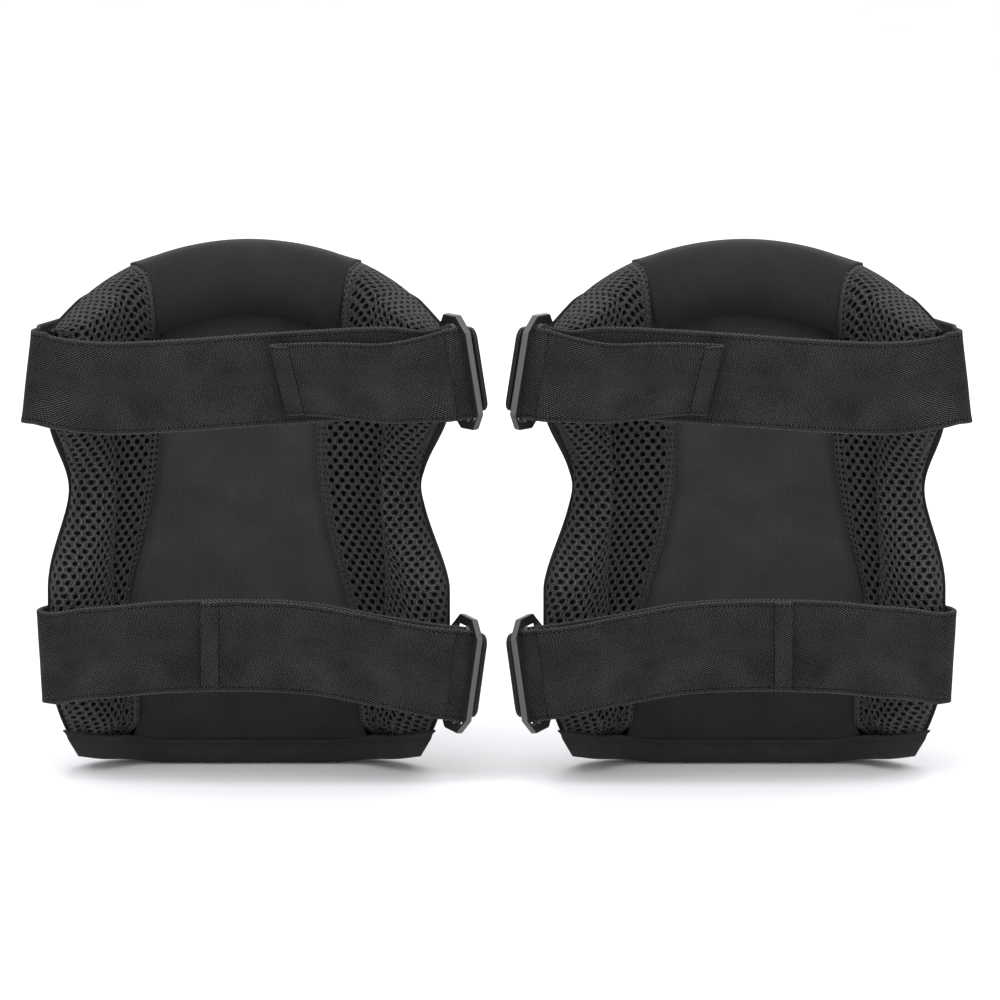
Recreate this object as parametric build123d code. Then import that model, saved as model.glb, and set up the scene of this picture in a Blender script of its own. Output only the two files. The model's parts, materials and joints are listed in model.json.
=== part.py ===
"""A pair of strap-on work knee pads, standing on their bottom edges with the leg side towards -Y.

Millimetres. +Z is up towards the thigh, +Y is the kneeling side. Each pad is drawn in a local frame:
x across, y = 0 at the flat of the lining, z = 0 at the bottom edge. The right pad mirrors the left.
"""
from build123d import *
import math
import os

# The pair
PAD_OFFSET = 118.5          # centre of each pad from the middle of the pair
DEPTH_SHIFT = 18.6          # moves the pair so that its depth is centred on y = 0

# Cup cross-section: flat base, arc, slanting wall, drawn for x > 0
BASE_HALF = 44.0
BEND_RADIUS = 28.0
BEND_ANGLE = 63.0
LINING = 2.5
FOAM_OUT = 12.5
CUP_OUT = 14.0

# Outline
ARCH_TOP = 253.5
ARCH_RADIUS = 131.6
BOTTOM_FLAT_HALF = 45.0
BOTTOM_RISE = 10.0
OUTLINE_HALF = 130.0
BODY_BOTTOM = 2.0
BINDING_WIDTH = 3.0
BINDING_IN = 9.0

# Rim height along the wall at the wing lobes, and the waist between them
LOBE_RIM = 34.5
WAIST_Z = 137.0
STRAP_WAIST_RIM = 13.0
CLIP_WAIST_RIM = 5.0

# Rolls
ROLL_DEPTH = 22.0
ROLL_INNER_RADIUS = 95.0
ROLL_INNER_TOP = 221.0
BOTTOM_ROLL_DEPTH = 16.0
BOTTOM_ROLL_LOW = 13.0
BOTTOM_ROLL_TOP = 46.0

# Bottom band
BAND_HEIGHT = 12.5
BAND_WRAP = 1.6
BAND_END_TOP = 87.0
BAND_END_LOW = 80.0
BAND_REACH = 18.0           # how far the band's ends come round towards the leg

# Inserts, cap and treads
GEL_SIZE = (72.0, 135.0, 7.5)
GEL_Z = 128.0
CAP_SIZE = (122.0, 192.0)
CAP_Z = 122.0
CAP_FRONT = 31.0
CAP_WALL = 2.5
CAP_CORNER = 44.0
CAP_EDGE = 10.0
TREAD_HEIGHT = 2.0
TREAD_COUNT = 5
TREAD_PITCH = 30.0
TREAD_SIZE = (66.0, 14.0)

# Straps and webbing
STRAP_WIDTH = 45.0
WEBBING_WIDTH = 38.0
STRAP_THICK = 1.6
SEWN_GAP = 0.3
ANCHOR_START = 6.0
FOLD_GAP = 3.5              # between the end of a strap's sewn root and the fold line
HOOK_THICK = 1.0

# Clip: ring, bar and receiver, in the clip's own frame (v along the wall, w outwards, u up)
BAR_S = 54.5
BAR_OFFSET = 10.0
BAR_RADIUS = 2.0
WRAP_RADIUS = 3.3
RING_V = (-17.0, 12.0)
WINDOW_V = (-13.0, 8.0)
RING_LENGTH = 56.0
RING_THICK = 3.2
RING_CORNER = 8.0
WINDOW_LENGTH = 46.6
RECEIVER_V = (-17.0, 5.0)
RECEIVER_W = (5.8, 8.2)
RECEIVER_LENGTH = 41.0
TONGUE_V = (-8.5, -6.3)
TONGUE_LENGTH = 34.0

# Strap places: the fold along the wall from the end of the bend; centre heights at the fold, the middle
# and the clip; lean of the fold and clip in degrees
UPPER = {"fold_s": 46.0, "fold_z": 197.5, "mid_z": 195.7, "clip_z": 200.0, "fold_lean": 7.0, "clip_lean": -8.8,
         "hem_x": 13.0, "hem_lean": -14.0}
LOWER = {"fold_s": 34.0, "fold_z": 60.1, "mid_z": 68.0, "clip_z": 53.5, "fold_lean": -3.2, "clip_lean": 7.8,
         "hem_x": -19.0, "hem_lean": 0.0}

BEND_CENTRE = Vector(BASE_HALF, -BEND_RADIUS, 0)
COS_B = math.cos(math.radians(BEND_ANGLE))
SIN_B = math.sin(math.radians(BEND_ANGLE))
ALONG = Vector(COS_B, -SIN_B, 0)      # up the right-hand wall, towards its rim
OUTWARD = Vector(SIN_B, COS_B, 0)     # outward normal of the right-hand wall
UP = Vector(0, 0, 1)
TALL = 320.0


def wall_point(s, offset):
    """Point on the right-hand wall, s along it and offset outwards from the lining's surface."""
    return BEND_CENTRE + OUTWARD * (BEND_RADIUS + offset) + ALONG * s


def prism_xz(face, low_y, high_y):
    """Extrudes a face drawn in x and z over a range of y."""
    return extrude(Plane.XZ * face, high_y - low_y).moved(Location((0, high_y, 0)))


def half_section(near, far):
    """The right half of the cup's cross-section between two offsets from the lining's surface."""
    edges = []
    for offset in (near, far):
        end = wall_point(0, offset)
        edges.append(Line((0, offset), (BASE_HALF, offset)))
        arc = CenterArc((BASE_HALF, -BEND_RADIUS), BEND_RADIUS + offset, 90 - BEND_ANGLE, BEND_ANGLE)
        edges.append(arc)
        edges.append(Line(end, end + ALONG * 60))
    edges.append(Line((0, near), (0, far)))
    edges.append(Line(wall_point(60, near), wall_point(60, far)))
    return make_face(edges)


def hollow_section():
    """The space inside the right half of the cup, on the leg side of the lining."""
    end, tip = wall_point(0, 0), wall_point(60, 0)
    edges = [
        Line((0, 0), (BASE_HALF, 0)),
        CenterArc((BASE_HALF, -BEND_RADIUS), BEND_RADIUS, 90 - BEND_ANGLE, BEND_ANGLE),
        Line(end, tip),
        Line(tip, (0, tip.Y)),
        Line((0, tip.Y), (0, 0)),
    ]
    return make_face(edges)


def rim_keep(waist_rim, inset):
    """What the rim's line keeps of the right-hand wall: a prism along the wall's normal."""
    lobe, waist = LOBE_RIM - inset, waist_rim - inset
    plane = Plane(origin=wall_point(0, 0), x_dir=ALONG, z_dir=OUTWARD * -1)
    upper = Spline([(lobe, 182), (waist, WAIST_Z), (lobe + 1, 92)],
                   tangents=[(0, -1), (0, -1), (0, -1)])
    lower = Spline([(lobe + 1, 62), (24 - inset, 31), (6 - inset, 12)],
                   tangents=[(0, -1), (-0.7, -1), (-1, -0.9)])
    edges = [
        Line((lobe, TALL), (lobe, 182)),
        upper,
        Line((lobe + 1, 92), (lobe + 1, 62)),
        lower,
        Line((6 - inset, 12), (-12, -6)),
        Line((-12, -6), (-160, -6)),
        Line((-160, -6), (-160, TALL)),
        Line((-160, TALL), (lobe, TALL)),
    ]
    return extrude(plane * make_face(edges), 120, both=True)


def arch_disc(radius, top):
    """A disc in x and z whose highest point is at the given height."""
    return Pos(0, top - radius) * Circle(radius)


def outline_keep(inset, bottom):
    """The pad's outline as seen along its depth: the arch above, a bottom edge that rises at its ends."""
    shoulder = ARCH_TOP - ARCH_RADIUS
    arch = arch_disc(ARCH_RADIUS - inset, ARCH_TOP - inset) & Pos(0, shoulder + 200) * Rectangle(400, 400)
    rise = bottom + BOTTOM_RISE
    lower = make_face(Polyline((-OUTLINE_HALF, shoulder), (-OUTLINE_HALF, rise + 5), (-90, rise),
                               (-BOTTOM_FLAT_HALF, bottom), (BOTTOM_FLAT_HALF, bottom), (90, rise),
                               (OUTLINE_HALF, rise + 5), (OUTLINE_HALF, shoulder), close=True))
    return prism_xz(arch + lower, -120, 60)


def cup_layer(near, far, inset=0.0, bottom=BODY_BOTTOM):
    """A layer of the cup between two offsets, cut to the rim and the outline."""
    return cup_cut(half_section(near, far), inset, bottom)


def cup_cut(section, inset=0.0, bottom=BODY_BOTTOM):
    """A half section drawn up to full height on both sides, cut to the rim and the outline."""
    block = extrude(section, TALL).moved(Location((0, 0, -10)))
    right = block & rim_keep(CLIP_WAIST_RIM, inset)
    left = (block & rim_keep(STRAP_WAIST_RIM, inset)).mirror(Plane.YZ)
    return (right + left) & outline_keep(inset, bottom)


def seam_prism():
    """Everything between the two long seams of the lining."""
    points = [(57, 268), (52, 250), (43.5, 214), (32, 166), (33, 134), (38, 106), (45, 82), (58, 30), (61, -10),
              (-60, -10), (-59, 30), (-56, 86), (-50, 110), (-46, 132), (-42.5, 162), (-44, 212),
              (-56, 250), (-60, 268)]
    return prism_xz(make_face(Polyline(*points, close=True)), -120, 60)


def rounded_block(width, height, corner, low_y, high_y, centre_z):
    """A rounded rectangle in x and z, extruded along y."""
    face = Pos(0, centre_z) * RectangleRounded(width, height, corner)
    return prism_xz(face, low_y, high_y)


def lining_and_padding():
    """The layers of the cup: lining panels, foam with its gel pocket, outer cover and rim binding."""
    lining = cup_layer(0, LINING)
    middle = seam_prism()
    sides = lining - middle
    rim = cup_layer(BINDING_IN, CUP_OUT) - cup_layer(BINDING_IN - 1, CUP_OUT + 1, inset=BINDING_WIDTH,
                                                     bottom=-5)
    width, height, depth = GEL_SIZE
    gel = rounded_block(width, height, 14, LINING, LINING + depth, GEL_Z)
    binding = rim - bottom_strip()
    return {
        "centre_panel": lining & middle,
        "mesh_strap_side": sides & Pos(-100, 0, 130) * Box(200, 300, 400),
        "mesh_clip_side": sides & Pos(100, 0, 130) * Box(200, 300, 400),
        "foam_core": cup_layer(LINING, FOAM_OUT) - gel - binding,
        "gel_insert": gel,
        "front_cover": cup_layer(FOAM_OUT, CUP_OUT) - binding,
        "edge_binding": binding,
    }


def bottom_strip():
    """The strip along the bottom edge that the folded band takes instead of the rim binding."""
    return Pos(0, 0, -10) * Box(400, 300, 2 * (10 + BAND_HEIGHT + BOTTOM_RISE))


def rolls():
    """The padded rolls at the top and bottom, and the mesh corners that carry them into the wings."""
    hollow = cup_cut(hollow_section())
    ring = arch_disc(ARCH_RADIUS, ARCH_TOP) - arch_disc(ROLL_INNER_RADIUS, ROLL_INNER_TOP)
    upper = prism_xz(ring & Pos(0, 260) * Rectangle(300, 160), -ROLL_DEPTH, 0) & hollow
    ends = BOTTOM_ROLL_LOW + BOTTOM_RISE
    strip = make_face(Polyline((-OUTLINE_HALF, BOTTOM_ROLL_TOP), (-OUTLINE_HALF, ends), (-BAND_END_TOP, ends),
                               (-BOTTOM_FLAT_HALF, BOTTOM_ROLL_LOW), (BOTTOM_FLAT_HALF, BOTTOM_ROLL_LOW),
                               (BAND_END_TOP, ends), (OUTLINE_HALF, ends), (OUTLINE_HALF, BOTTOM_ROLL_TOP),
                               close=True))
    lower = prism_xz(strip, -BOTTOM_ROLL_DEPTH, 0) & hollow
    return {
        "top_roll": upper & seam_prism(),
        "upper_corners": upper - seam_prism(),
        "bottom_roll": lower & seam_prism(),
        "lower_corners": lower - seam_prism(),
    }


def bottom_band():
    """Folded tape over the bottom edge, with raw ends that slant in towards the bottom."""
    block = extrude(half_section(-BAND_WRAP, CUP_OUT + BAND_WRAP), TALL).moved(Location((0, 0, -10)))
    u_shape = (block + block.mirror(Plane.YZ)) & outline_keep(0, 0)
    ends = prism_xz(make_face(Polyline((-BAND_END_TOP, BAND_HEIGHT + BOTTOM_RISE), (-BAND_END_LOW, -1),
                                       (BAND_END_LOW, -1), (BAND_END_TOP, BAND_HEIGHT + BOTTOM_RISE),
                                       (BOTTOM_FLAT_HALF, BAND_HEIGHT), (-BOTTOM_FLAT_HALF, BAND_HEIGHT),
                                       close=True)), -BAND_REACH, 60)
    return u_shape & ends - cup_layer(0, CUP_OUT)


def cap_and_foam():
    """Hard cap over a foam block on the front of the cup, with rubber treads on its face."""
    width, height = CAP_SIZE
    cup_bulk = cup_layer(0, CUP_OUT)
    shell = rounded_block(width, height, CAP_CORNER, 0, CAP_FRONT, CAP_Z)
    shell = fillet(shell.faces().sort_by(Axis.Y)[-1].edges(), CAP_EDGE)
    inner = rounded_block(width - 2 * CAP_WALL, height - 2 * CAP_WALL, CAP_CORNER - CAP_WALL, -1,
                          CAP_FRONT - CAP_WALL, CAP_Z)
    inner = fillet(inner.faces().sort_by(Axis.Y)[-1].edges(), CAP_EDGE - CAP_WALL)
    hollow = cup_cut(hollow_section())
    treads = Part()
    for i in range(TREAD_COUNT):
        z = CAP_Z + (i - (TREAD_COUNT - 1) / 2) * TREAD_PITCH
        treads += rounded_block(*TREAD_SIZE, 5, CAP_FRONT, CAP_FRONT + TREAD_HEIGHT, z)
    return {
        "front_foam": inner - cup_bulk - hollow,
        "cap_shell": shell - inner - cup_bulk - hollow,
        "cap_treads": treads,
    }


def band_loft(stations, width, thick):
    """A flat band of given width and thickness through stations of (centre, direction, width direction)."""
    wires = []
    for centre, direction, across in stations:
        across = across.normalized()
        normal = direction.cross(across).normalized()
        corners = []
        for a, b in ((-0.5, -0.5), (0.5, -0.5), (0.5, 0.5), (-0.5, 0.5)):
            corners.append(centre + across * (a * width) + normal * (b * thick))
        wires.append(Wire.make_polygon(corners, close=True))
    return Solid.make_loft(wires, ruled=True)


def lean(vector, degrees):
    """A direction turned about the depth axis."""
    return vector.rotate(Axis.Y, degrees)


def clip_frame(strap):
    """Placement of the clip's bar: local x up the wall, local y outwards, local z along the bar."""
    centre = wall_point(BAR_S, BAR_OFFSET) + UP * strap["clip_z"]
    return Plane(origin=centre, x_dir=lean(ALONG, strap["clip_lean"]), z_dir=lean(UP, strap["clip_lean"]))


def box_between(x_range, y_range, length):
    """A box from ranges in local x and y, centred along local z."""
    (x0, x1), (y0, y1) = x_range, y_range
    return Pos((x0 + x1) / 2, (y0 + y1) / 2, 0) * Box(x1 - x0, y1 - y0, length)


def ring(strap):
    """Ring buckle: a plate with cut corners, one window, and the round bar that the strap wraps."""
    plate = box_between(RING_V, (-RING_THICK / 2, RING_THICK / 2), RING_LENGTH)
    plate = chamfer(plate.edges().filter_by(Axis.Y), RING_CORNER)
    window = box_between(WINDOW_V, (-RING_THICK, RING_THICK), WINDOW_LENGTH)
    bar = Cylinder(BAR_RADIUS, WINDOW_LENGTH + 2)
    return clip_frame(strap).location * (plate - window + bar)


def receiver(strap):
    """Receiver: a rounded plate outside the ring with a tongue that reaches into its window."""
    plate = box_between(RECEIVER_V, RECEIVER_W, RECEIVER_LENGTH)
    plate = fillet(plate.edges().filter_by(Axis.Y), 5)
    tongue = box_between(TONGUE_V, (0, RECEIVER_W[0] + 0.5), TONGUE_LENGTH)
    return clip_frame(strap).location * (plate + tongue)


def flex_point(strap):
    """The line about which the receiver flaps at the end of its webbing."""
    middle = (RECEIVER_W[0] + RECEIVER_W[1]) / 2
    return (clip_frame(strap).location * Location((RECEIVER_V[0] - 0.6, middle, 0))).position


def webbing(strap):
    """Webbing tab from the outside of the clip-side wing to the receiver's inner edge."""
    offset = CUP_OUT + SEWN_GAP + STRAP_THICK / 2
    leaned = lean(UP, strap["clip_lean"])
    height = UP * strap["clip_z"]
    stations = [
        (wall_point(ANCHOR_START, offset) + height, ALONG, UP),
        (wall_point(LOBE_RIM - 12, offset) + height, ALONG, UP),
        (wall_point(LOBE_RIM + 0.5, offset + 2.4) + height, ALONG, leaned),
        (flex_point(strap) - lean(ALONG, strap["clip_lean"]) * 0.6, lean(ALONG, strap["clip_lean"]), leaned),
    ]
    return band_loft(stations, WEBBING_WIDTH, STRAP_THICK)


def mirrored(vector):
    """The same vector on the strap side of the pad."""
    return Vector(-vector.X, vector.Y, vector.Z)


def anchor(strap):
    """Strap root sewn to the outside of the strap-side wing, up to the fold line."""
    offset = CUP_OUT + SEWN_GAP + STRAP_THICK / 2
    along = mirrored(ALONG)
    height = UP * strap["fold_z"]
    end = strap["fold_s"] - FOLD_GAP
    up = lean(UP, strap["fold_lean"]) if end > LOBE_RIM else UP
    stations = [
        (mirrored(wall_point(ANCHOR_START, offset)) + height, along, UP),
        (mirrored(wall_point(end - 8, offset)) + height, along, UP),
        (mirrored(wall_point(end, offset)) + height, along, up),
    ]
    return band_loft(stations, STRAP_WIDTH, STRAP_THICK)


def swing_point(strap):
    """Where the strap folds about the end of its root."""
    offset = CUP_OUT + SEWN_GAP + STRAP_THICK / 2
    return mirrored(wall_point(strap["fold_s"], offset)) + UP * strap["fold_z"]


def strap_band(strap):
    """Elastic strap: fold at the left, across behind the leg, round the ring's bar and a short way back."""
    fold = swing_point(strap)
    left, right = lean(UP, strap["fold_lean"]), lean(UP, strap["clip_lean"])
    mid = UP * strap["mid_z"]
    near_left = UP * (strap["mid_z"] * 0.55 + strap["fold_z"] * 0.45)
    near_right = UP * (strap["mid_z"] * 0.55 + strap["clip_z"] * 0.45)
    bar = clip_frame(strap).origin
    stations = [
        (fold + mirrored(ALONG) * 1.5, mirrored(ALONG), left),
        (fold + Vector(-3.2, -6.2, 0), Vector(0.1, -1, 0), left),
        (fold + Vector(-1.4, -9.4, 0), Vector(1, -0.9, 0), left),
        (fold + Vector(3, -10.8, 0), Vector(1, -0.15, 0), left),
        (Vector(-58, -63, 0) + near_left, Vector(1, -0.03, 0), UP + left),
        (Vector(0, -64, 0) + mid, Vector(1, 0, 0), UP),
        (Vector(50, -62.6, 0) + near_right, Vector(1, 0.07, 0), UP + right),
        (bar + lean(Vector(-18, WRAP_RADIUS - 1.6, 0), strap["clip_lean"]), Vector(1, 0.12, 0), right),
    ]
    for degrees in (90, 45, 0, -45, -90):
        angle = math.radians(degrees)
        spoke = Vector(math.cos(angle), math.sin(angle), 0)
        heading = Vector(math.sin(angle), -math.cos(angle), 0)
        stations.append((bar + lean(spoke * WRAP_RADIUS, strap["clip_lean"]),
                         lean(heading, strap["clip_lean"]), right))
    stations.append((bar + lean(Vector(-6, -WRAP_RADIUS, 0), strap["clip_lean"]),
                     lean(Vector(-1, 0, 0), strap["clip_lean"]), right))
    return band_loft(stations, STRAP_WIDTH, STRAP_THICK)


def peel_point(strap):
    """The line about which the folded-back end peels away from the strap."""
    return clip_frame(strap).origin + lean(Vector(-7.5, -WRAP_RADIUS, 0), strap["clip_lean"])


def tab_stations(strap, extra_y):
    """Stations of the folded-back end from the clip to its hem, moved by extra_y towards the leg."""
    start = peel_point(strap)
    right = lean(UP, strap["clip_lean"])
    hem = lean(UP, strap["hem_lean"])
    middle = (start.X + strap["hem_x"]) / 2
    near_right = strap["mid_z"] * 0.6 + strap["clip_z"] * 0.4
    shift = Vector(0, extra_y, 0)
    return [
        (start + lean(Vector(-1.5, 0, 0), strap["clip_lean"]) + shift, Vector(-1, 0, 0), right),
        (Vector(middle + 12, -66.3, near_right) + shift, Vector(-1, 0, 0), UP + right),
        (Vector(strap["hem_x"] + 12, -67.2, strap["mid_z"]) + shift, Vector(-1, 0, 0), UP + hem),
        (Vector(strap["hem_x"], -67.3, strap["mid_z"]) + shift, Vector(-1, 0, 0), hem),
    ]


def tab(strap):
    """The folded-back strap end."""
    return band_loft(tab_stations(strap, 0), STRAP_WIDTH, STRAP_THICK)


def hooks(strap):
    """Hook tape on the inner face of the folded-back end."""
    stations = tab_stations(strap, (STRAP_THICK + HOOK_THICK) / 2)[1:]
    return band_loft(stations, STRAP_WIDTH - 7, HOOK_THICK)


def pad():
    """Every piece of the left pad, in its local frame."""
    pieces = {}
    pieces.update(lining_and_padding())
    pieces.update(rolls())
    pieces["bottom_band"] = bottom_band()
    pieces.update(cap_and_foam())
    for level, strap in (("upper", UPPER), ("lower", LOWER)):
        pieces[level + "_anchor"] = anchor(strap)
        pieces[level + "_strap"] = strap_band(strap)
        pieces[level + "_tab"] = tab(strap)
        pieces[level + "_hooks"] = hooks(strap)
        pieces[level + "_ring"] = ring(strap)
        pieces[level + "_receiver"] = receiver(strap)
        pieces[level + "_webbing"] = webbing(strap)
    return pieces


def report_points(strap, level):
    """Prints the hinge points of one strap in the left pad's place, in metres."""
    place = Vector(-PAD_OFFSET, DEPTH_SHIFT, 0)
    for name, point in (("swing", swing_point(strap)), ("bar", clip_frame(strap).origin),
                        ("peel", peel_point(strap)), ("flex", flex_point(strap))):
        where = (point + place) / 1000
        print(level, name, [round(c, 6) for c in where])


def main():
    os.makedirs("parts", exist_ok=True)
    place = Location((-PAD_OFFSET, DEPTH_SHIFT, 0))
    for name, shape in pad().items():
        left = place * shape
        export_step(left, f"parts/left_{name}.step")
        export_step(left.mirror(Plane.YZ), f"parts/right_{name}.step")
    report_points(UPPER, "upper")
    report_points(LOWER, "lower")


main()
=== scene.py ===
"""The looks of a pair of strap-on work knee pads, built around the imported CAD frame.

Shapes are worked out in millimetres in each pad's own frame (x across, y = 0 at the lining, leg side
towards -y, z up) and put in place in metres. The right pad is the left one mirrored.
"""
import json
import math

import bpy
import numpy as np
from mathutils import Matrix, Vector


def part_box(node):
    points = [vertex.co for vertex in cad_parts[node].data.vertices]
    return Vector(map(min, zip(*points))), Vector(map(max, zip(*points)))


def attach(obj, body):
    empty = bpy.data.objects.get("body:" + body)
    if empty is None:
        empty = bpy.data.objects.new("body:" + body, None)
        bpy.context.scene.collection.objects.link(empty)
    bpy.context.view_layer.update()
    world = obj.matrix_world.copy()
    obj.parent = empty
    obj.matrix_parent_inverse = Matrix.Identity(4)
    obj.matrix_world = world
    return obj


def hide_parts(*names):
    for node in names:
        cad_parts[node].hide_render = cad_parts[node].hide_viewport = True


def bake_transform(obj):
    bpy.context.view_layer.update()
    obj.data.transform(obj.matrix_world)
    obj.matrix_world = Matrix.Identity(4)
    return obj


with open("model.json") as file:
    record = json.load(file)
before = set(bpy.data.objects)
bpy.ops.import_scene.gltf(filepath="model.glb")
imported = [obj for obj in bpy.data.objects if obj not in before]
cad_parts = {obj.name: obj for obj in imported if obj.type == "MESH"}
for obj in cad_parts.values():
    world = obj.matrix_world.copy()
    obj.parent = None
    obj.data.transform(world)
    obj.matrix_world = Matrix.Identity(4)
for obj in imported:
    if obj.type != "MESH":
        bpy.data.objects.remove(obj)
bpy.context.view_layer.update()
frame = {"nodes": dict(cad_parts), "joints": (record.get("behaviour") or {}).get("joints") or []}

SIDES = ("left", "right")
LEVELS = ("upper", "lower")
JOINTS = {joint["name"]: joint for joint in frame["joints"]}

# The pad's place and main sizes, from the frame, in millimetres
MM = 0.001
UP = np.array([0, 0, 1.0])
LEG_SIDE = np.array([0, -1.0, 0])
KNEELING_SIDE = -LEG_SIDE
BAND_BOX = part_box("left_bottom_band")
GEL_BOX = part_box("left_gel_insert")
PANEL_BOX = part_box("left_centre_panel")
CAP_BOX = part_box("left_cap_shell")
TREAD_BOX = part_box("left_cap_treads")
LINING_THICK = 2.5
PAD_X = (BAND_BOX[0].x + BAND_BOX[1].x) / 2 / MM
LINING_Y = GEL_BOX[0].y / MM - LINING_THICK
ARCH_TOP = PANEL_BOX[1].z / MM
BAND_END = (BAND_BOX[1].x - BAND_BOX[0].x) / 2 / MM + 2.0
CAP_FRONT = CAP_BOX[1].y / MM - LINING_Y
CAP_HALF = ((CAP_BOX[1].x - CAP_BOX[0].x) / 2 / MM, (CAP_BOX[1].z - CAP_BOX[0].z) / 2 / MM)
CAP_Z = (CAP_BOX[1].z + CAP_BOX[0].z) / 2 / MM

# Cap: the radius of its edge, the squareness of its outline, the share of its grid on top, and its treads
CAP_EDGE = 10.0
CAP_POWER = 3.4
CAP_TOP_SHARE = 0.96
CAP_FLUTES = 36
TREADS = 5
TREAD_HEIGHT = 14.0

# Cup cross-section: flat base, arc, slanting wall. Then its outline seen from the leg: an arch over two
# lobes for the straps, a waist between them (one value for each hand), and a bottom edge that rises
BASE_HALF = 44.0
BEND_RADIUS = 28.0
BEND = math.radians(63.0)
BEND_LENGTH = BEND_RADIUS * BEND
CUP_OUT = 14.0
EDGE_RADIUS = CUP_OUT / 2
ARCH_RADIUS = 131.6
ARCH_CENTRE = ARCH_TOP - ARCH_RADIUS
BODY_BOTTOM = 2.0
BOTTOM_RISE = 10.0
LIFT_START = 40.0
LIFT_LENGTH = 49.0
LOBE = 34.5
WAIST_Z = 137.0
WAIST_HALF = 46.0
WAIST_RIM = {-1: 13.0, 1: 5.0}
WAIST_SHAPE = {-1: 2.0, 1: 1.45}
RIM_FOOT = 6.0
RIM_RISE = 54.0

# Wings: where the bolster's crease runs, how high the padding stands, and the grids of the skins
CREASE = 70.0
BOLSTER_HIGH = 6.5
PILLOW_HIGH = 2.0
SKIN = 1.2
SOLVER_STEPS = 8
WING_COLUMNS = 124
WING_ROWS = 318

# Rolls: the upper one in polar terms about the arch's centre
ROLL_MID, ROLL_HALF, ROLL_HIGH = 16.5, 17.6, 14.5
ROLL_LIFT = 6.0
LOW_MID, LOW_HALF, LOW_HIGH = 28.0, 18.0, 12.5
LOW_LIFT = 1.0

# Centre panel and the width of the grooves along the seams
PANEL_LOW = 41.0
PANEL_TOP_RADIUS = 98.0
SEAM_GROOVE = 2.2

# Seams between the smooth middle and the mesh wings: (z, x)
SEAMS = {
    -1: [(-20, -60), (30, -59), (86, -56), (110, -50), (132, -46), (162, -42.5), (212, -44),
         (236, -50), (270, -62)],
    1: [(-20, 62), (30, 58), (82, 45), (106, 38), (134, 33), (166, 32), (214, 43.5), (240, 50),
        (272, 60)],
}

# Spacer mesh: two interleaved rows of round holes, and a sewn border beside the seam
MESH_PITCH = (5.2, 6.4)
HOLE = 1.2
MESH_BORDER = 6.0
STITCH_ROWS = (1.7, 4.6)
STITCH_PITCH = 3.1

# Straps, rings and webbing
STRAP_WIDTH = 45.0
STRAP_THICK = 1.6
HOOK_WIDTH = STRAP_WIDTH - 13
HOOK_THICK = 0.8
WEBBING_WIDTH = 38.0
WEBBING_THICK = 1.6
WRAP_RADIUS = 3.3
BAR_RADIUS = 2.0
BAR_HALF = 24.0
RING_HALF_THICK = 1.6
ROOT_OUT = BEND_RADIUS + CUP_OUT + 1.1
STITCH_OUT = BEND_RADIUS + CUP_OUT + 2.0

# Outlines of the clip's plates: from and to along the wall, half height, and corner
RING_OUTSIDE = (-17, 12, 28, 8)
RING_WINDOW = (-13, 8, 23.3, 2.0)
RECEIVER_PLATE = (-17, 5, 20.5, 5)
RECEIVER_RIM = (-15, 3, 18.5, 4)
RECEIVER_DISH = (-13, 1, 16.5, 3)
RECEIVER_TONGUE = (-8.5, -6.3, 17, 1.0)


# Small tools

def smooth(low, high, value):
    """Smooth step from 0 at low to 1 at high."""
    t = np.clip((value - low) / (high - low), 0, 1)
    return t * t * (3 - 2 * t)


def hermite(at, points):
    """Smooth curve through (position, value) points, read at the given positions."""
    place, value = np.array(points, float).T
    slope = np.gradient(value, place)
    i = np.clip(np.searchsorted(place, at) - 1, 0, len(place) - 2)
    step = place[i + 1] - place[i]
    t = np.clip((at - place[i]) / step, 0, 1)
    leaving = (1 + 2 * t) * (1 - t) ** 2 * value[i] + t * (1 - t) ** 2 * step * slope[i]
    arriving = t * t * (3 - 2 * t) * value[i + 1] + t * t * (t - 1) * step * slope[i + 1]
    return leaving + arriving


def run_length(points):
    """Length along a line of points, from 0 at its start."""
    steps = np.linalg.norm(np.diff(points, axis=0), axis=1)
    return np.concatenate([[0], np.cumsum(steps)])


def read_line(at, run, points):
    """What a line of points or directions has at the given run lengths."""
    return np.stack([np.interp(at, run, points[:, axis]) for axis in range(3)], -1)


def unit(vectors):
    """The same directions with length 1."""
    return vectors / np.linalg.norm(vectors, axis=-1, keepdims=True)


def circle(count):
    """Angles spaced evenly round a full turn."""
    return np.linspace(0, 2 * math.pi, count, endpoint=False)


def groove(distance, width):
    """Rounded groove profile: 1 at its middle, fading out over the width."""
    return np.exp(-(distance / width) ** 2)


def ripple(a, b, scale, seed=0.0):
    """Gentle unevenness between -1 and 1, the same on every run."""
    total = (np.sin(a / scale + 1.3 + seed) * np.cos(b / scale * 0.8 + seed * 1.7)
             + 0.6 * np.sin(a / scale * 2.1 - b / scale * 1.3 + seed * 2.3)
             + 0.4 * np.cos(a / scale * 3.7 + b / scale * 3.1 + seed * 0.6))
    return total / 2


def to_local(point):
    """A frame point in metres as millimetres in the left pad's own frame."""
    return np.array([point[0] / MM - PAD_X, point[1] / MM - LINING_Y, point[2] / MM])


def joint_point(level, joint):
    """A joint's place on the left pad, in its own frame."""
    return to_local(JOINTS[f"left_{level}_{joint}"]["pos_m"])


def to_frame(points, side):
    """Local millimetres to frame metres, mirrored for the right pad."""
    out = np.array(points, float).reshape(-1, 3)
    out[:, 0] += PAD_X
    out[:, 1] += LINING_Y
    if side == "right":
        out[:, 0] *= -1
    return out * MM


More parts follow.
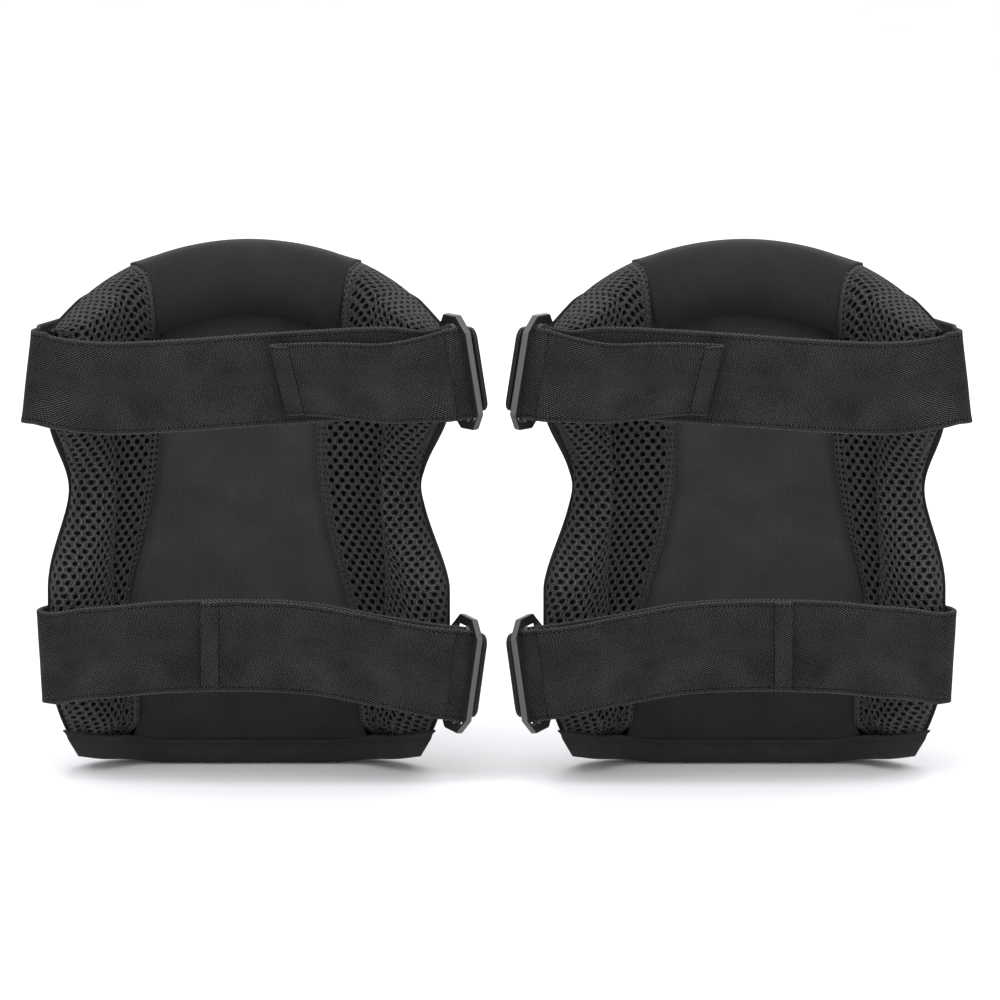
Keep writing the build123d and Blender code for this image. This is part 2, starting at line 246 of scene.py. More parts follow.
def make_mesh(name, side, points, faces, material, uvs=None, facing=None):
    """A smooth-shaded mesh from local points. facing is a local direction that its faces look towards."""
    mesh = bpy.data.meshes.new(f"{side}_{name}")
    mesh.from_pydata(to_frame(points, side).tolist(), [], [tuple(face) for face in faces])
    if facing is not None:
        mesh.update()
        want = np.array(facing, float) * (-1 if side == "right" else 1, 1, 1)
        normals = np.zeros(len(mesh.polygons) * 3)
        mesh.polygons.foreach_get("normal", normals)
        if (normals.reshape(-1, 3) @ want).sum() < 0:
            mesh.flip_normals()
    elif side == "right":
        mesh.flip_normals()
    if uvs is not None:
        layer = mesh.uv_layers.new(name="Metric")
        loops = np.zeros(len(mesh.loops), np.int64)
        mesh.loops.foreach_get("vertex_index", loops)
        layer.data.foreach_set("uv", np.array(uvs, float).reshape(-1, 2)[loops].ravel())
    mesh.polygons.foreach_set("use_smooth", [True] * len(mesh.polygons))
    mesh.materials.append(material)
    mesh.update()
    obj = bpy.data.objects.new(f"{side}_{name}", mesh)
    bpy.context.scene.collection.objects.link(obj)
    return obj


def grid_faces(rows, columns, wrap=False):
    """Quads of a grid of rows x columns points. wrap joins the last column to the first."""
    across = columns if wrap else columns - 1
    row, column = np.meshgrid(np.arange(rows - 1), np.arange(across), indexing="ij")
    here, beside = row * columns + column, row * columns + (column + 1) % columns
    return np.stack([here, beside, beside + columns, here + columns], -1).reshape(-1, 4).tolist()


def sheet_mesh(name, side, points, uv, material, thick, facing, wrap=False):
    """A grid of points as a skin with thickness behind the side that faces out."""
    rows, columns = points.shape[:2]
    obj = make_mesh(name, side, points, grid_faces(rows, columns, wrap), material, uv, facing)
    modifier = obj.modifiers.new("thickness", "SOLIDIFY")
    modifier.thickness = thick * MM
    modifier.offset = -1
    return obj


def tube_mesh(name, side, loops, uv, material):
    """Closed loops of points joined into a body with flat ends."""
    rows, columns = loops.shape[:2]
    faces = grid_faces(rows, columns, wrap=True)
    faces.append(list(range(columns))[::-1])
    faces.append(list(range((rows - 1) * columns, rows * columns)))
    obj = make_mesh(name, side, loops, faces, material, uv)
    if signed_volume(obj.data) < 0:
        obj.data.flip_normals()
    return obj


def signed_volume(mesh):
    """Six times the volume inside a closed mesh, negative if its faces look inwards."""
    places = np.zeros(len(mesh.vertices) * 3)
    mesh.vertices.foreach_get("co", places)
    mesh.calc_loop_triangles()
    corners = np.zeros(len(mesh.loop_triangles) * 3, np.int64)
    mesh.loop_triangles.foreach_get("vertices", corners)
    a, b, c = (places.reshape(-1, 3)[corners.reshape(-1, 3)[:, k]] for k in range(3))
    return float((a * np.cross(b, c)).sum())


def stitches(name, side, lines, pitch, length, width, material):
    """Thread stitches along lines of (points, surface normals): one small rounded bar per stitch."""
    verts, faces = [], []
    ring = circle(6)
    stations = [(-0.5, 0.0), (-0.42, 0.75), (0.0, 1.0), (0.42, 0.75), (0.5, 0.0)]
    quads = np.array(grid_faces(len(stations), len(ring), wrap=True))
    for points, normals in lines:
        run = run_length(points)
        for at in np.arange(pitch / 2, run[-1], pitch):
            here, ahead, behind = (read_line(at + shift, run, points) for shift in (0, 0.6, -0.6))
            normal = read_line(at, run, normals)
            tangent = unit(ahead - behind)
            beside = np.cross(tangent, normal)
            faces.extend((quads + len(verts)).tolist())
            for along, swell in stations:
                for angle in ring:
                    offset = beside * math.cos(angle) + normal * math.sin(angle) * 0.8
                    verts.append(here + tangent * along * length + offset * swell * width / 2
                                 - normal * abs(along) ** 2 * width)
    return make_mesh(name, side, verts, faces, material)


# Materials

class Maker:
    """Builds one node material with short calls."""

    def __init__(self, name, roughness, sheen=0.0, sheen_roughness=0.5, specular=0.08):
        self.material = bpy.data.materials.new(name)
        self.material.use_nodes = True
        self.tree = self.material.node_tree
        self.shader = self.tree.nodes["Principled BSDF"]
        self.shader.inputs["Roughness"].default_value = roughness
        self.shader.inputs["Sheen Weight"].default_value = sheen
        self.shader.inputs["Sheen Roughness"].default_value = sheen_roughness
        self.shader.inputs["Specular IOR Level"].default_value = specular

    def add(self, kind, **values):
        node = self.tree.nodes.new(kind)
        for key, value in values.items():
            setattr(node, key, value)
        return node

    def link(self, source, target):
        self.tree.links.new(source, target)

    def math(self, operation, a, b=0.0, c=0.0):
        node = self.add("ShaderNodeMath", operation=operation)
        for socket, value in zip(node.inputs, (a, b, c)):
            if isinstance(value, (int, float)):
                socket.default_value = value
            else:
                self.link(value, socket)
        return node.outputs[0]

    def times(self, a, b):
        return self.math("MULTIPLY", a, b)

    def minus(self, a, b):
        return self.math("SUBTRACT", a, b)

    def scaled(self, value, factor, plus=0.0):
        """value * factor + plus"""
        return self.math("MULTIPLY_ADD", value, factor, plus)

    def total(self, start, *parts):
        """start plus each part's value times its weight."""
        for value, weight in parts:
            start = self.scaled(value, weight, start)
        return start

    def clamped(self, value, low=0.0, high=1.0):
        return self.math("MINIMUM", self.math("MAXIMUM", value, low), high)

    def metric(self):
        """The piece's own length and width coordinates, in millimetres."""
        node = self.add("ShaderNodeUVMap", uv_map="Metric")
        split = self.add("ShaderNodeSeparateXYZ")
        self.link(node.outputs[0], split.inputs[0])
        return split.outputs[0], split.outputs[1], node.outputs[0]

    def place(self):
        return self.add("ShaderNodeTexCoord").outputs["Object"]

    def noise(self, vector, scale, detail=2.0, rough=0.5):
        node = self.add("ShaderNodeTexNoise")
        node.inputs["Scale"].default_value = scale
        node.inputs["Detail"].default_value = detail
        node.inputs["Roughness"].default_value = rough
        self.link(vector, node.inputs["Vector"])
        return node.outputs["Fac"]

    def ramp(self, value, stops):
        node = self.add("ShaderNodeValToRGB")
        elements = node.color_ramp.elements
        while len(elements) < len(stops):
            elements.new(0.5)
        for element, (at, grey) in zip(elements, stops):
            element.position = at
            tint = grey if isinstance(grey, tuple) else (grey, grey, grey * 1.03)
            element.color = (*tint, 1)
        self.link(value, node.inputs[0])
        return node.outputs[0]

    def colour(self, source):
        self.link(source, self.shader.inputs["Base Color"])

    def rough(self, value, low, high):
        node = self.add("ShaderNodeMapRange")
        node.inputs["To Min"].default_value = low
        node.inputs["To Max"].default_value = high
        self.link(value, node.inputs["Value"])
        self.link(node.outputs[0], self.shader.inputs["Roughness"])

    def bump(self, height, distance, strength=1.0):
        node = self.add("ShaderNodeBump")
        node.inputs["Distance"].default_value = distance * MM
        node.inputs["Strength"].default_value = strength
        self.link(height, node.inputs["Height"])
        self.link(node.outputs[0], self.shader.inputs["Normal"])

    def wave(self, position, period):
        """Sine between 0 and 1 with the given period."""
        turn = self.times(position, 2 * math.pi / period)
        return self.scaled(self.math("SINE", turn), 0.5, 0.5)


def elastic_material():
    """Black twill elastic: slanting ribs that turn at the selvedges, with a plainer stripe mid-width."""
    m = Maker("elastic_twill", 0.85, sheen=0.03)
    u, v, vector = m.metric()
    away = m.math("ABSOLUTE", v)
    edge = m.math("GREATER_THAN", away, STRAP_WIDTH / 2 - 3.0)
    sign = m.scaled(edge, -2.0, 1.0)
    wobble = m.times(m.noise(vector, 0.12, 3.0), 2.2)
    slant = m.times(m.times(u, 0.55), sign)
    rib = m.wave(m.math("ADD", m.minus(v, slant), wobble), 1.05)
    yarn = m.wave(m.math("ADD", u, m.times(v, 0.15)), 1.1)
    fuzz = m.noise(vector, 1.7, 3.0, 0.7)
    off_mid = m.math("ABSOLUTE", m.minus(v, 0.8))
    clear = m.clamped(m.times(m.minus(off_mid, 1.6), 0.35), 0.12)
    patchy = m.noise(vector, 0.045, 4.0)
    strength = m.times(clear, m.scaled(patchy, 1.5, 0.1))
    cord = m.times(m.minus(m.scaled(yarn, 0.35, rib), 0.67), strength)
    bead = m.math("GREATER_THAN", away, STRAP_WIDTH / 2 - 0.9)
    seam = m.math("LESS_THAN", m.math("ABSOLUTE", m.minus(away, STRAP_WIDTH / 2 - 2.4)), 0.32)
    seam = m.times(seam, m.math("GREATER_THAN", m.wave(u, 1.5), 0.4))
    plain = m.minus(1.0, clear)
    tone = m.total(0.10, (fuzz, 0.75), (cord, 0.42), (patchy, 0.14), (bead, 0.16), (plain, 0.05),
                   (seam, -0.22))
    m.colour(m.ramp(tone, [(0.30, 0.0006), (0.47, 0.005), (0.62, 0.018), (0.85, 0.07)]))
    m.rough(tone, 0.75, 0.95)
    m.bump(cord, 0.22)
    return m.material


def knit_material(name, shade):
    """Smooth black knit with a fine upright rib, pale flecks and a soft bloom."""
    m = Maker(name, 0.9, sheen=0.06 * shade, sheen_roughness=0.6)
    u, v, vector = m.metric()
    rib = m.wave(m.scaled(m.noise(vector, 0.3), 0.5, u), 0.85)
    course = m.wave(v, 0.7)
    fleck = m.math("GREATER_THAN", m.noise(vector, 1.6, 1.0), 0.735)
    pit = m.math("LESS_THAN", m.noise(vector, 0.9, 1.0), 0.27)
    cloud = m.noise(vector, 0.035, 4.0)
    weave = m.total(0.0, (rib, 0.4), (course, 0.25))
    tone = m.total(0.0, (weave, 0.62), (cloud, 0.5), (fleck, 0.45), (pit, -0.25))
    stops = [(0.0, 0.008), (0.35, 0.027), (0.62, 0.040), (1.0, 0.12)]
    m.colour(m.ramp(tone, [(place, shade * level) for place, level in stops]))
    m.rough(cloud, 0.82, 0.95)
    m.bump(weave, 0.12)
    return m.material


def mesh_material():
    """Black spacer mesh: yarn around round holes, with painted shade making the holes and needle pricks
    near-black.
    """
    m = Maker("spacer_mesh", 0.8, sheen=0.04)
    u, v, vector = m.metric()
    nearest = None
    for shift in (0.0, 0.5):
        parts = []
        for value, pitch in ((u, MESH_PITCH[0]), (v, MESH_PITCH[1])):
            cell = m.math("FRACT", m.scaled(value, 1 / pitch, shift))
            parts.append(m.times(m.minus(cell, 0.5), pitch))
        squares = m.math("ADD", m.math("POWER", parts[0], 2.0), m.math("POWER", parts[1], 2.0))
        distance = m.math("SQRT", squares)
        nearest = distance if nearest is None else m.math("MINIMUM", nearest, distance)
    # Painted shade: the mask 'solid' is 0 in the holes and in the needle pricks by the seam, and those places
    # get painted near-black.
    ragged = m.scaled(m.noise(vector, 1.4, 2.0), 0.5, nearest)
    solid = m.times(m.minus(ragged, HOLE + 0.02), 2.2)
    sewn = m.math("LESS_THAN", u, MESH_BORDER)
    solid = m.math("MAXIMUM", m.clamped(solid), sewn)
    for row in STITCH_ROWS:
        off = m.math("POWER", m.minus(u, row), 2.0)
        cell = m.math("FRACT", m.times(v, 1 / STITCH_PITCH))
        run = m.times(m.minus(cell, 0.5), STITCH_PITCH)
        prick = m.math("GREATER_THAN", m.math("ADD", off, m.math("POWER", run, 2.0)), 0.62)
        solid = m.times(solid, prick)
    yarn = m.wave(m.scaled(nearest, 1.0, m.times(u, 0.35)), 0.75)
    strand = m.noise(vector, 2.6, 3.0)
    tone = m.times(m.total(0.0, (strand, 0.8), (yarn, 0.3)), solid)
    # The lowest ramp stops are painted shade in the holes and pricks; the yarn itself is the black above
    # them.
    m.colour(m.ramp(tone, [(0.0, 0.0006), (0.22, 0.003), (0.48, 0.020), (0.9, 0.12)]))
    m.rough(tone, 0.95, 0.7)
    height = m.scaled(strand, 0.4, m.times(yarn, 0.5))
    m.bump(m.times(height, solid), 0.3)
    return m.material


def woven_material(name, dark, light, period, sheen=0.04, roughness=0.85):
    """Plain weave: over and under yarns, with uneven dye."""
    m = Maker(name, roughness, sheen=sheen)
    u, v, vector = m.metric()
    over = m.wave(u, period)
    under = m.wave(v, period)
    weave = m.math("ADD", m.times(over, under), m.times(m.minus(1.0, over), m.minus(1.0, under)))
    cloud = m.noise(vector, 0.06, 4.0)
    fuzz = m.noise(vector, 2.0, 2.0)
    tone = m.total(0.0, (weave, 0.45), (cloud, 0.4), (fuzz, 0.25))
    m.colour(m.ramp(tone, [(0.1, dark), (0.55, (dark + light) / 2), (1.0, light)]))
    m.rough(fuzz, roughness - 0.08, roughness + 0.08)
    m.bump(weave, 0.2)
    return m.material


def plastic_material(name, base, worn, roughness, grain=1400.0, specular=0.45):
    """Moulded plastic: fine spark texture, scuffs, and paler worn edges."""
    m = Maker(name, roughness, specular=specular)
    where = m.place()
    fine = m.noise(where, grain, 3.0)
    scuff = m.noise(where, 90.0, 5.0, 0.65)
    edge = m.minus(m.add("ShaderNodeNewGeometry").outputs["Pointiness"], 0.5)
    edge = m.clamped(m.times(edge, 5.0))
    wear = m.total(0.0, (scuff, 0.55), (edge, 0.5), (fine, 0.12))
    m.colour(m.ramp(wear, [(0.2, base), (0.55, base), (0.95, worn)]))
    m.rough(scuff, roughness - 0.12, roughness + 0.15)
    m.bump(fine, 0.05)
    return m.material


def thread_material():
    """Black sewing thread with a twisted ply."""
    m = Maker("sewing_thread", 0.6, sheen=0.03, specular=0.2)
    where = m.place()
    ply = m.noise(where, 2500.0, 1.0)
    m.colour(m.ramp(ply, [(0.2, 0.012), (0.8, 0.045)]))
    m.bump(ply, 0.05)
    return m.material


def foam_material():
    """Closed-cell foam for the sealed inner block."""
    m = Maker("cell_foam", 0.9)
    where = m.place()
    cells = m.add("ShaderNodeTexVoronoi")
    cells.inputs["Scale"].default_value = 700.0
    m.link(where, cells.inputs["Vector"])
    m.colour(m.ramp(cells.outputs["Distance"], [(0.0, 0.03), (0.8, 0.07)]))
    m.bump(cells.outputs["Distance"], 0.2)
    return m.material


def gel_material():
    """Blue-grey gel with fine bubbles."""
    m = Maker("pressure_gel", 0.35, specular=0.5)
    where = m.place()
    bubbles = m.noise(where, 400.0, 2.0)
    m.colour(m.ramp(bubbles, [(0.3, (0.03, 0.07, 0.11)), (0.8, (0.06, 0.12, 0.18))]))
    m.bump(bubbles, 0.1)
    return m.material


MATERIALS = {
    "elastic": elastic_material(),
    "knit": knit_material("knit_lining", 1.0),
    "roll": knit_material("roll_knit", 0.58),
    "mesh": mesh_material(),
    "cloth": woven_material("outer_cloth", 0.010, 0.045, 1.1),
    "webbing": woven_material("webbing_weave", 0.008, 0.040, 1.6),
    "tape": woven_material("binding_tape", 0.003, 0.046, 1.0, sheen=0.04),
    "hook": woven_material("hook_tape", 0.004, 0.045, 1.5, roughness=0.7),
    "ring": plastic_material("ring_plastic", (0.068, 0.066, 0.064), (0.22, 0.21, 0.205), 0.5),
    "receiver": plastic_material("receiver_plastic", (0.008, 0.008, 0.009), (0.05, 0.05, 0.05), 0.5,
                                 specular=0.25),
    "cap": plastic_material("cap_plastic", (0.014, 0.014, 0.015), (0.07, 0.07, 0.07), 0.5, grain=900.0),
    "rubber": plastic_material("tread_rubber", (0.010, 0.010, 0.010), (0.045, 0.045, 0.045), 0.85,
                               grain=700.0, specular=0.2),
    "thread": thread_material(),
    "foam": foam_material(),
    "gel": gel_material(),
}


# The cup's surface

def wall(t, out=0.0):
    """Cross-section at arc length t from the middle, offset outwards: x, y and the leg-side normal."""
    sign = np.where(t < 0, -1.0, 1.0)
    a = np.abs(t)
    turn = np.clip((a - BASE_HALF) / BEND_RADIUS, 0, BEND)
    straight = np.clip(a - BASE_HALF - BEND_LENGTH, 0, None)
    x = np.minimum(a, BASE_HALF) + (BEND_RADIUS + out) * np.sin(turn) + straight * math.cos(BEND)
    y = -BEND_RADIUS + (BEND_RADIUS + out) * np.cos(turn) - straight * math.sin(BEND)
    return sign * x, y, np.stack([-sign * np.sin(turn), -np.cos(turn), 0 * turn], -1)


def raised(t, z, high):
    """Points at arc length t and height z, raised off the lining towards the leg."""
    x, y, normal = wall(t)
    return np.stack([x, y, z], -1) + normal * high[..., None]


def arc_length(x):
    """Arc length across the lining at which it has this x, within the base and the bend."""
    beyond = np.clip((np.abs(x) - BASE_HALF) / BEND_RADIUS, 0, 0.88)
    return np.sign(x) * (np.minimum(np.abs(x), BASE_HALF) + BEND_RADIUS * np.arcsin(beyond))


def top_z(x):
    """Height of the upper arch."""
    return ARCH_CENTRE + np.sqrt(np.clip(ARCH_RADIUS ** 2 - x * x, 1, None))


def bottom_lift(x):
    """How far the bottom edge rises towards its ends."""
    return BOTTOM_RISE * np.clip((np.abs(x) - LIFT_START) / LIFT_LENGTH, 0, None) ** 1.5


def bottom_z(x):
    """Height of the body's bottom edge."""
    return BODY_BOTTOM + bottom_lift(x)


def rim_t(z, hand):
    """Arc length of the rim at height z: lobes for the straps with a waist between them."""
    dip = np.cos(math.pi / 2 * np.clip(np.abs(z - WAIST_Z) / WAIST_HALF, 0, 1)) ** WAIST_SHAPE[hand]
    down_wall = LOBE - (LOBE - WAIST_RIM[hand]) * dip
    down_wall = down_wall * np.sin(math.pi / 2 * np.clip((z - RIM_FOOT) / RIM_RISE, 0, 1)) ** 0.85
    return BASE_HALF + BEND_LENGTH + down_wall


def seam_t(z, hand):
    """Arc length of the seam, as a positive number."""
    return np.abs(arc_length(hermite(z, SEAMS[hand])))


def edge_drop(distance):
    """How far the skin falls towards mid-thickness near an edge."""
    near = np.clip(distance, 0, EDGE_RADIUS)
    return EDGE_RADIUS - np.sqrt(EDGE_RADIUS ** 2 - (EDGE_RADIUS - near) ** 2)


def dome(value, middle, half, power=2.6):
    """Rounded bump: 1 at the middle, 0 at either end."""
    return (1 - np.clip(np.abs((value - middle) / half), 0, 1) ** power) ** 0.6


def relief(t, x, z, seam, rim):
    """Height of the padding over the lining's surface on a wing, towards the leg."""
    from_arch = np.where(z > ARCH_CENTRE, ARCH_RADIUS - np.hypot(x, z - ARCH_CENTRE), 99.0)
    turn = np.degrees(np.arctan2(np.abs(x), np.maximum(z - ARCH_CENTRE, 1e-3)))
    inner = (ROLL_LIFT + ROLL_HIGH) * dome(from_arch, ROLL_MID, ROLL_HALF)
    outer = ROLL_LIFT + ROLL_HIGH * np.sqrt(1 - np.clip((ROLL_MID - from_arch) / ROLL_HALF, 0, 1) ** 2)
    upper = np.where(from_arch > ROLL_MID, inner, outer) * (1 - 0.72 * smooth(24, 50, turn))
    lower = (LOW_LIFT + LOW_HIGH) * dome(z, LOW_MID, LOW_HALF) * (1 - 0.6 * smooth(60, 86, np.abs(x)))
    past = np.clip((t - CREASE) / np.maximum(rim - CREASE, 1), 0, 1)
    bolster = BOLSTER_HIGH * np.sin(math.pi * past ** 0.8) ** 0.8
    inside = np.clip((t - seam) / np.maximum(CREASE - seam, 1), 0, 1)
    pillow = PILLOW_HIGH * np.sin(math.pi * inside) ** 0.7
    high = (upper ** 3 + lower ** 3 + bolster ** 3 + pillow ** 3) ** (1 / 3)
    high -= 1.8 * groove(t - seam, SEAM_GROOVE)
    high -= 1.6 * groove(t - CREASE, 1.8) * (1 - smooth(200, 225, z))
    high += 0.45 * ripple(t, z, 9.0, 0.7)
    high *= 0.1 + 0.9 * smooth(8, 19, z - bottom_lift(x))
    high *= np.sqrt(np.clip((rim - t) / EDGE_RADIUS, 0, 1))
    return high - edge_drop(rim - t)


def hole_distance(t, z):
    """Distance to the middle of the nearest hole of the spacer mesh."""
    best = None
    for shift in (0.0, 0.5):
        across = ((t / MESH_PITCH[0] + shift) % 1 - 0.5) * MESH_PITCH[0]
        up = ((z / MESH_PITCH[1] + shift) % 1 - 0.5) * MESH_PITCH[1]
        here = np.hypot(across, up)
        best = here if best is None else np.minimum(best, here)
    return best


def solve_grid(hand, columns, rows, start_at_seam=True):
    """Arc length t, height z, seam and rim on one hand of the cup.

    Columns run from 0 at the seam, or at the cup's middle, to 1 at the rim, and rows from 0 at the bottom
    to 1 at the top. Each step corrects the last one.
    """
    across, up = np.meshgrid(columns, rows, indexing="ij")
    z = 4 + 240 * up
    for _ in range(SOLVER_STEPS):
        seam = seam_t(z, hand) if start_at_seam else 0 * z
        rim = rim_t(z, hand)
        t = seam + across * (rim - seam)
        x = wall(t, EDGE_RADIUS)[0]
        z = bottom_z(x) + up * (top_z(x) - bottom_z(x))
    return t, z, seam, rim


def true_lengths(points):
    """Lengths over the surface from the seam and from the waist's height, over a grid of points."""
    across = np.linalg.norm(np.diff(points, axis=0), axis=-1)
    up = np.linalg.norm(np.diff(points, axis=1), axis=-1)
    u = np.concatenate([np.zeros((1, points.shape[1])), np.cumsum(across, axis=0)])
    v = np.concatenate([np.zeros((points.shape[0], 1)), np.cumsum(up, axis=1)], axis=1)
    middle = np.abs(points[0, :, 2] - WAIST_Z).argmin()
    return u, v + (points[:, middle, 2] - v[:, middle])[:, None]


def wrap_edge(share):
    """Round an edge from mid-thickness to the outside, share from 0 to 1: distance inwards and depth."""
    turn = math.radians(72) * share
    return EDGE_RADIUS * (1 - np.cos(turn)), EDGE_RADIUS + (EDGE_RADIUS + 0.5) * np.sin(turn)


def wing_surface(hand):
    """Wing from the seam round the rim and over the arch's edge: points, normals, number of front rows."""
    t, z, seam, rim = solve_grid(hand, np.linspace(0, 1, WING_COLUMNS), np.linspace(0, 1, WING_ROWS))
    high = relief(t, wall(t, EDGE_RADIUS)[0], z, seam, rim)
    inwards, depth = wrap_edge(np.linspace(0, 1, 14)[1:])
    t = np.concatenate([t, t[-1:] - inwards[:, None]])
    high = np.concatenate([high, 0 * high[:1] - depth[:, None]])
    z = np.concatenate([z, np.repeat(z[-1:], len(inwards), 0)])
    x, y, normal = wall(t)
    middle_x = wall(t, EDGE_RADIUS)[0]
    points = np.stack([x, y, z], -1) + normal * high[..., None]
    part = np.linspace(0, 1, 12)[1:]
    start = high[:, -1:]
    low = np.minimum(start, -EDGE_RADIUS)
    swell = np.clip((start + EDGE_RADIUS) / 12, 0, 1)
    down = np.concatenate([start + (low - start) * part, np.minimum(start, -depth)], axis=1)
    bulge = -1.2 * swell * np.sin(math.pi * part)
    inward = np.concatenate([bulge, np.repeat(inwards[None], len(t), 0)], axis=1)
    away = np.stack([middle_x[:, -1], 0 * middle_x[:, -1], z[:, -1] - ARCH_CENTRE], -1) / ARCH_RADIUS
    skin = np.stack([x[:, -1], y[:, -1], z[:, -1]], -1)
    fold = skin[:, None] + normal[:, -1:] * down[..., None] - away[:, None] * inward[..., None]
    front = z.shape[1]
    normal = np.concatenate([normal, np.repeat(normal[:, -1:], down.shape[1], 1)], axis=1)
    return np.concatenate([points, fold], axis=1), normal, front


def build_wing(side, hand):
    """Mesh-covered wing from the seam to the rim."""
    points, normal, front = wing_surface(hand)
    u, v = true_lengths(points)
    away = hole_distance(u, v)
    open_up = smooth(MESH_BORDER - 0.4, MESH_BORDER + 0.8, u) * smooth(8.0, 11.0, u[-1:] - u)
    open_up[:, front:] = 0
    dip = 0.35 * smooth(HOLE, HOLE + 0.9, away) - 1.2 * (1 - smooth(HOLE - 0.5, HOLE + 0.35, away))
    points = points + normal * (open_up * dip)[..., None]
    points[..., 0] *= hand
    name = "mesh_clip_side" if hand > 0 else "mesh_strap_side"
    uv = np.stack([u, v], -1)
    obj = sheet_mesh(name + "_skin", side, points, uv, MATERIALS["mesh"], SKIN, LEG_SIDE)
    corners = [f"{side}_{level}_corners" for level in LEVELS if hand > 0]
    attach(obj, side + "_pad")
    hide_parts(f"{side}_{name}", *corners)


def build_centre_panel(side):
    """Smooth knit panel between the seams, slightly crowned."""
    across, up = np.meshgrid(np.linspace(0, 1, 110), np.linspace(0, 1, 200), indexing="ij")
    z = PANEL_LOW + 175 * up
    for _ in range(SOLVER_STEPS):
        left, right = -seam_t(z, -1), seam_t(z, 1)
        t = left + across * (right - left)
        x = wall(t)[0]
        high_end = ARCH_CENTRE + np.sqrt(PANEL_TOP_RADIUS ** 2 - np.clip(x, -90, 90) ** 2)
        z = PANEL_LOW + up * (high_end - PANEL_LOW)
    crown = 1.6 * np.sin(math.pi * across) ** 0.5 + 0.3 * ripple(x, z, 16.0, 2.1)
    crown -= 1.8 * (groove(t - left, 2.0) + groove(right - t, 2.0))
    uv = np.stack([t, z], -1)
    obj = sheet_mesh("centre_panel_skin", side, raised(t, z, crown), uv, MATERIALS["knit"], SKIN, LEG_SIDE)
    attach(obj, side + "_pad")
    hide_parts(side + "_centre_panel")


def build_top_roll(side):
    """Padded roll along the arch, between the seams, with a real undercut towards the knee."""
    front_and_edge = np.radians(np.concatenate([np.linspace(-38, 180, 60), np.linspace(182, 220, 24)]))
    across, around = np.meshgrid(np.linspace(0, 1, 150), front_and_edge, indexing="ij")
    into_edge = (around - math.pi) / math.radians(20)
    past = np.clip(into_edge, 0, 1)
    inwards, under = wrap_edge(np.clip(into_edge - 1, 0, 1))
    edge = (ROLL_MID - ROLL_HALF) * (1 - past ** 2) + inwards
    from_arch = np.where(past > 0, edge, ROLL_MID + ROLL_HALF * np.cos(around))
    depth = np.clip(from_arch, 0, 36) / 36
    left = -np.radians(24.0 + 3.1 * depth)
    right = np.radians(22.8 + 3.3 * depth)
    turn = left + across * (right - left)
    radius = ARCH_RADIUS - from_arch
    from_seam = np.minimum(turn - left, right - turn) * radius
    rising = ROLL_LIFT + ROLL_HIGH * np.sin(around)
    swell = np.where(past > 0, ROLL_LIFT - (ROLL_LIFT + EDGE_RADIUS) * past, rising)
    swell = np.where(past >= 1, -under, swell)
    high = swell * (1 - 0.10 * groove(from_seam, 7.0)) - 1.9 * groove(from_seam, SEAM_GROOVE)
    high += 0.5 * ripple(turn * 110, around * 6, 3.0, 0.4) * np.clip(np.sin(around), 0, 1)
    high += 0.5 * ripple(turn * 110, around * 14, 17.0, 1.4)
    points = raised(arc_length(radius * np.sin(turn)), ARCH_CENTRE + radius * np.cos(turn), high)
    uv = np.stack([turn * 110, around * 16], -1)
    obj = sheet_mesh("top_roll_skin", side, points, uv, MATERIALS["roll"], SKIN, LEG_SIDE)
    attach(obj, side + "_pad")
    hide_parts(side + "_top_roll")


def build_bottom_roll(side):
    """Padded roll above the bottom band, between the seams."""
    front = np.radians(np.linspace(-30, 210, 50))
    across, around = np.meshgrid(np.linspace(0, 1, 130), front, indexing="ij")
    z = LOW_MID + LOW_HALF * np.cos(around)
    left, right = -seam_t(z, -1), seam_t(z, 1)
    t = left + across * (right - left)
    from_seam = np.minimum(t - left, right - t)
    high = (LOW_LIFT + LOW_HIGH * np.sin(around)) * (1 - 0.1 * groove(from_seam, 7.0))
    high -= 1.8 * groove(from_seam, SEAM_GROOVE)
    high += 0.3 * ripple(t, z, 8.0, 1.1)
    uv = np.stack([t, around * 15], -1)
    obj = sheet_mesh("bottom_roll_skin", side, raised(t, z, high), uv, MATERIALS["roll"], SKIN, LEG_SIDE)
    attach(obj, side + "_pad")
    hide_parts(side + "_bottom_roll")


def build_cover(side):
    """Outer cloth cover of the cup, with rounded rims."""
    halves = []
    for hand in (-1, 1):
        t, z, _, rim = solve_grid(hand, np.linspace(0, 1, 80), np.linspace(0, 1, 150), start_at_seam=False)
        drop = edge_drop(rim - t) + edge_drop(top_z(wall(t, EDGE_RADIUS)[0]) - z)
        z = z - 1.5 * np.clip((z - ARCH_CENTRE) / ARCH_RADIUS, 0, 1)
        out = CUP_OUT - drop + 0.25 * ripple(t, z, 11.0, hand)
        halves.append((raised(t, z, -out) * (hand, 1, 1), np.stack([t * hand, z], -1)))
    (left_points, left_uv), (right_points, right_uv) = halves
    points = np.concatenate([left_points[::-1], right_points[1:]])
    uv = np.concatenate([left_uv[::-1], right_uv[1:]])
    obj = sheet_mesh("front_cover_skin", side, points, uv, MATERIALS["cloth"], 1.0, KNEELING_SIDE)
    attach(obj, side + "_pad")
    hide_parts(side + "_front_cover", side + "_foam_core")


def rim_path():
    """The rim from the lower strap-side corner, over the arch, to the lower clip-side corner."""
    rows = np.linspace(0.02, 1, 90)
    strap_t, strap_z, _, _ = solve_grid(-1, np.array([1.0]), rows)
    clip_t, clip_z, _, _ = solve_grid(1, np.array([1.0]), rows)
    reach = strap_t[0, -1]
    arch_t = np.linspace(-reach, reach, 120)[1:-1]
    arch_z = top_z(wall(arch_t, EDGE_RADIUS)[0])
    return (np.concatenate([-strap_t[0], arch_t, clip_t[0, ::-1]]),
            np.concatenate([strap_z[0], arch_z, clip_z[0, ::-1]]))


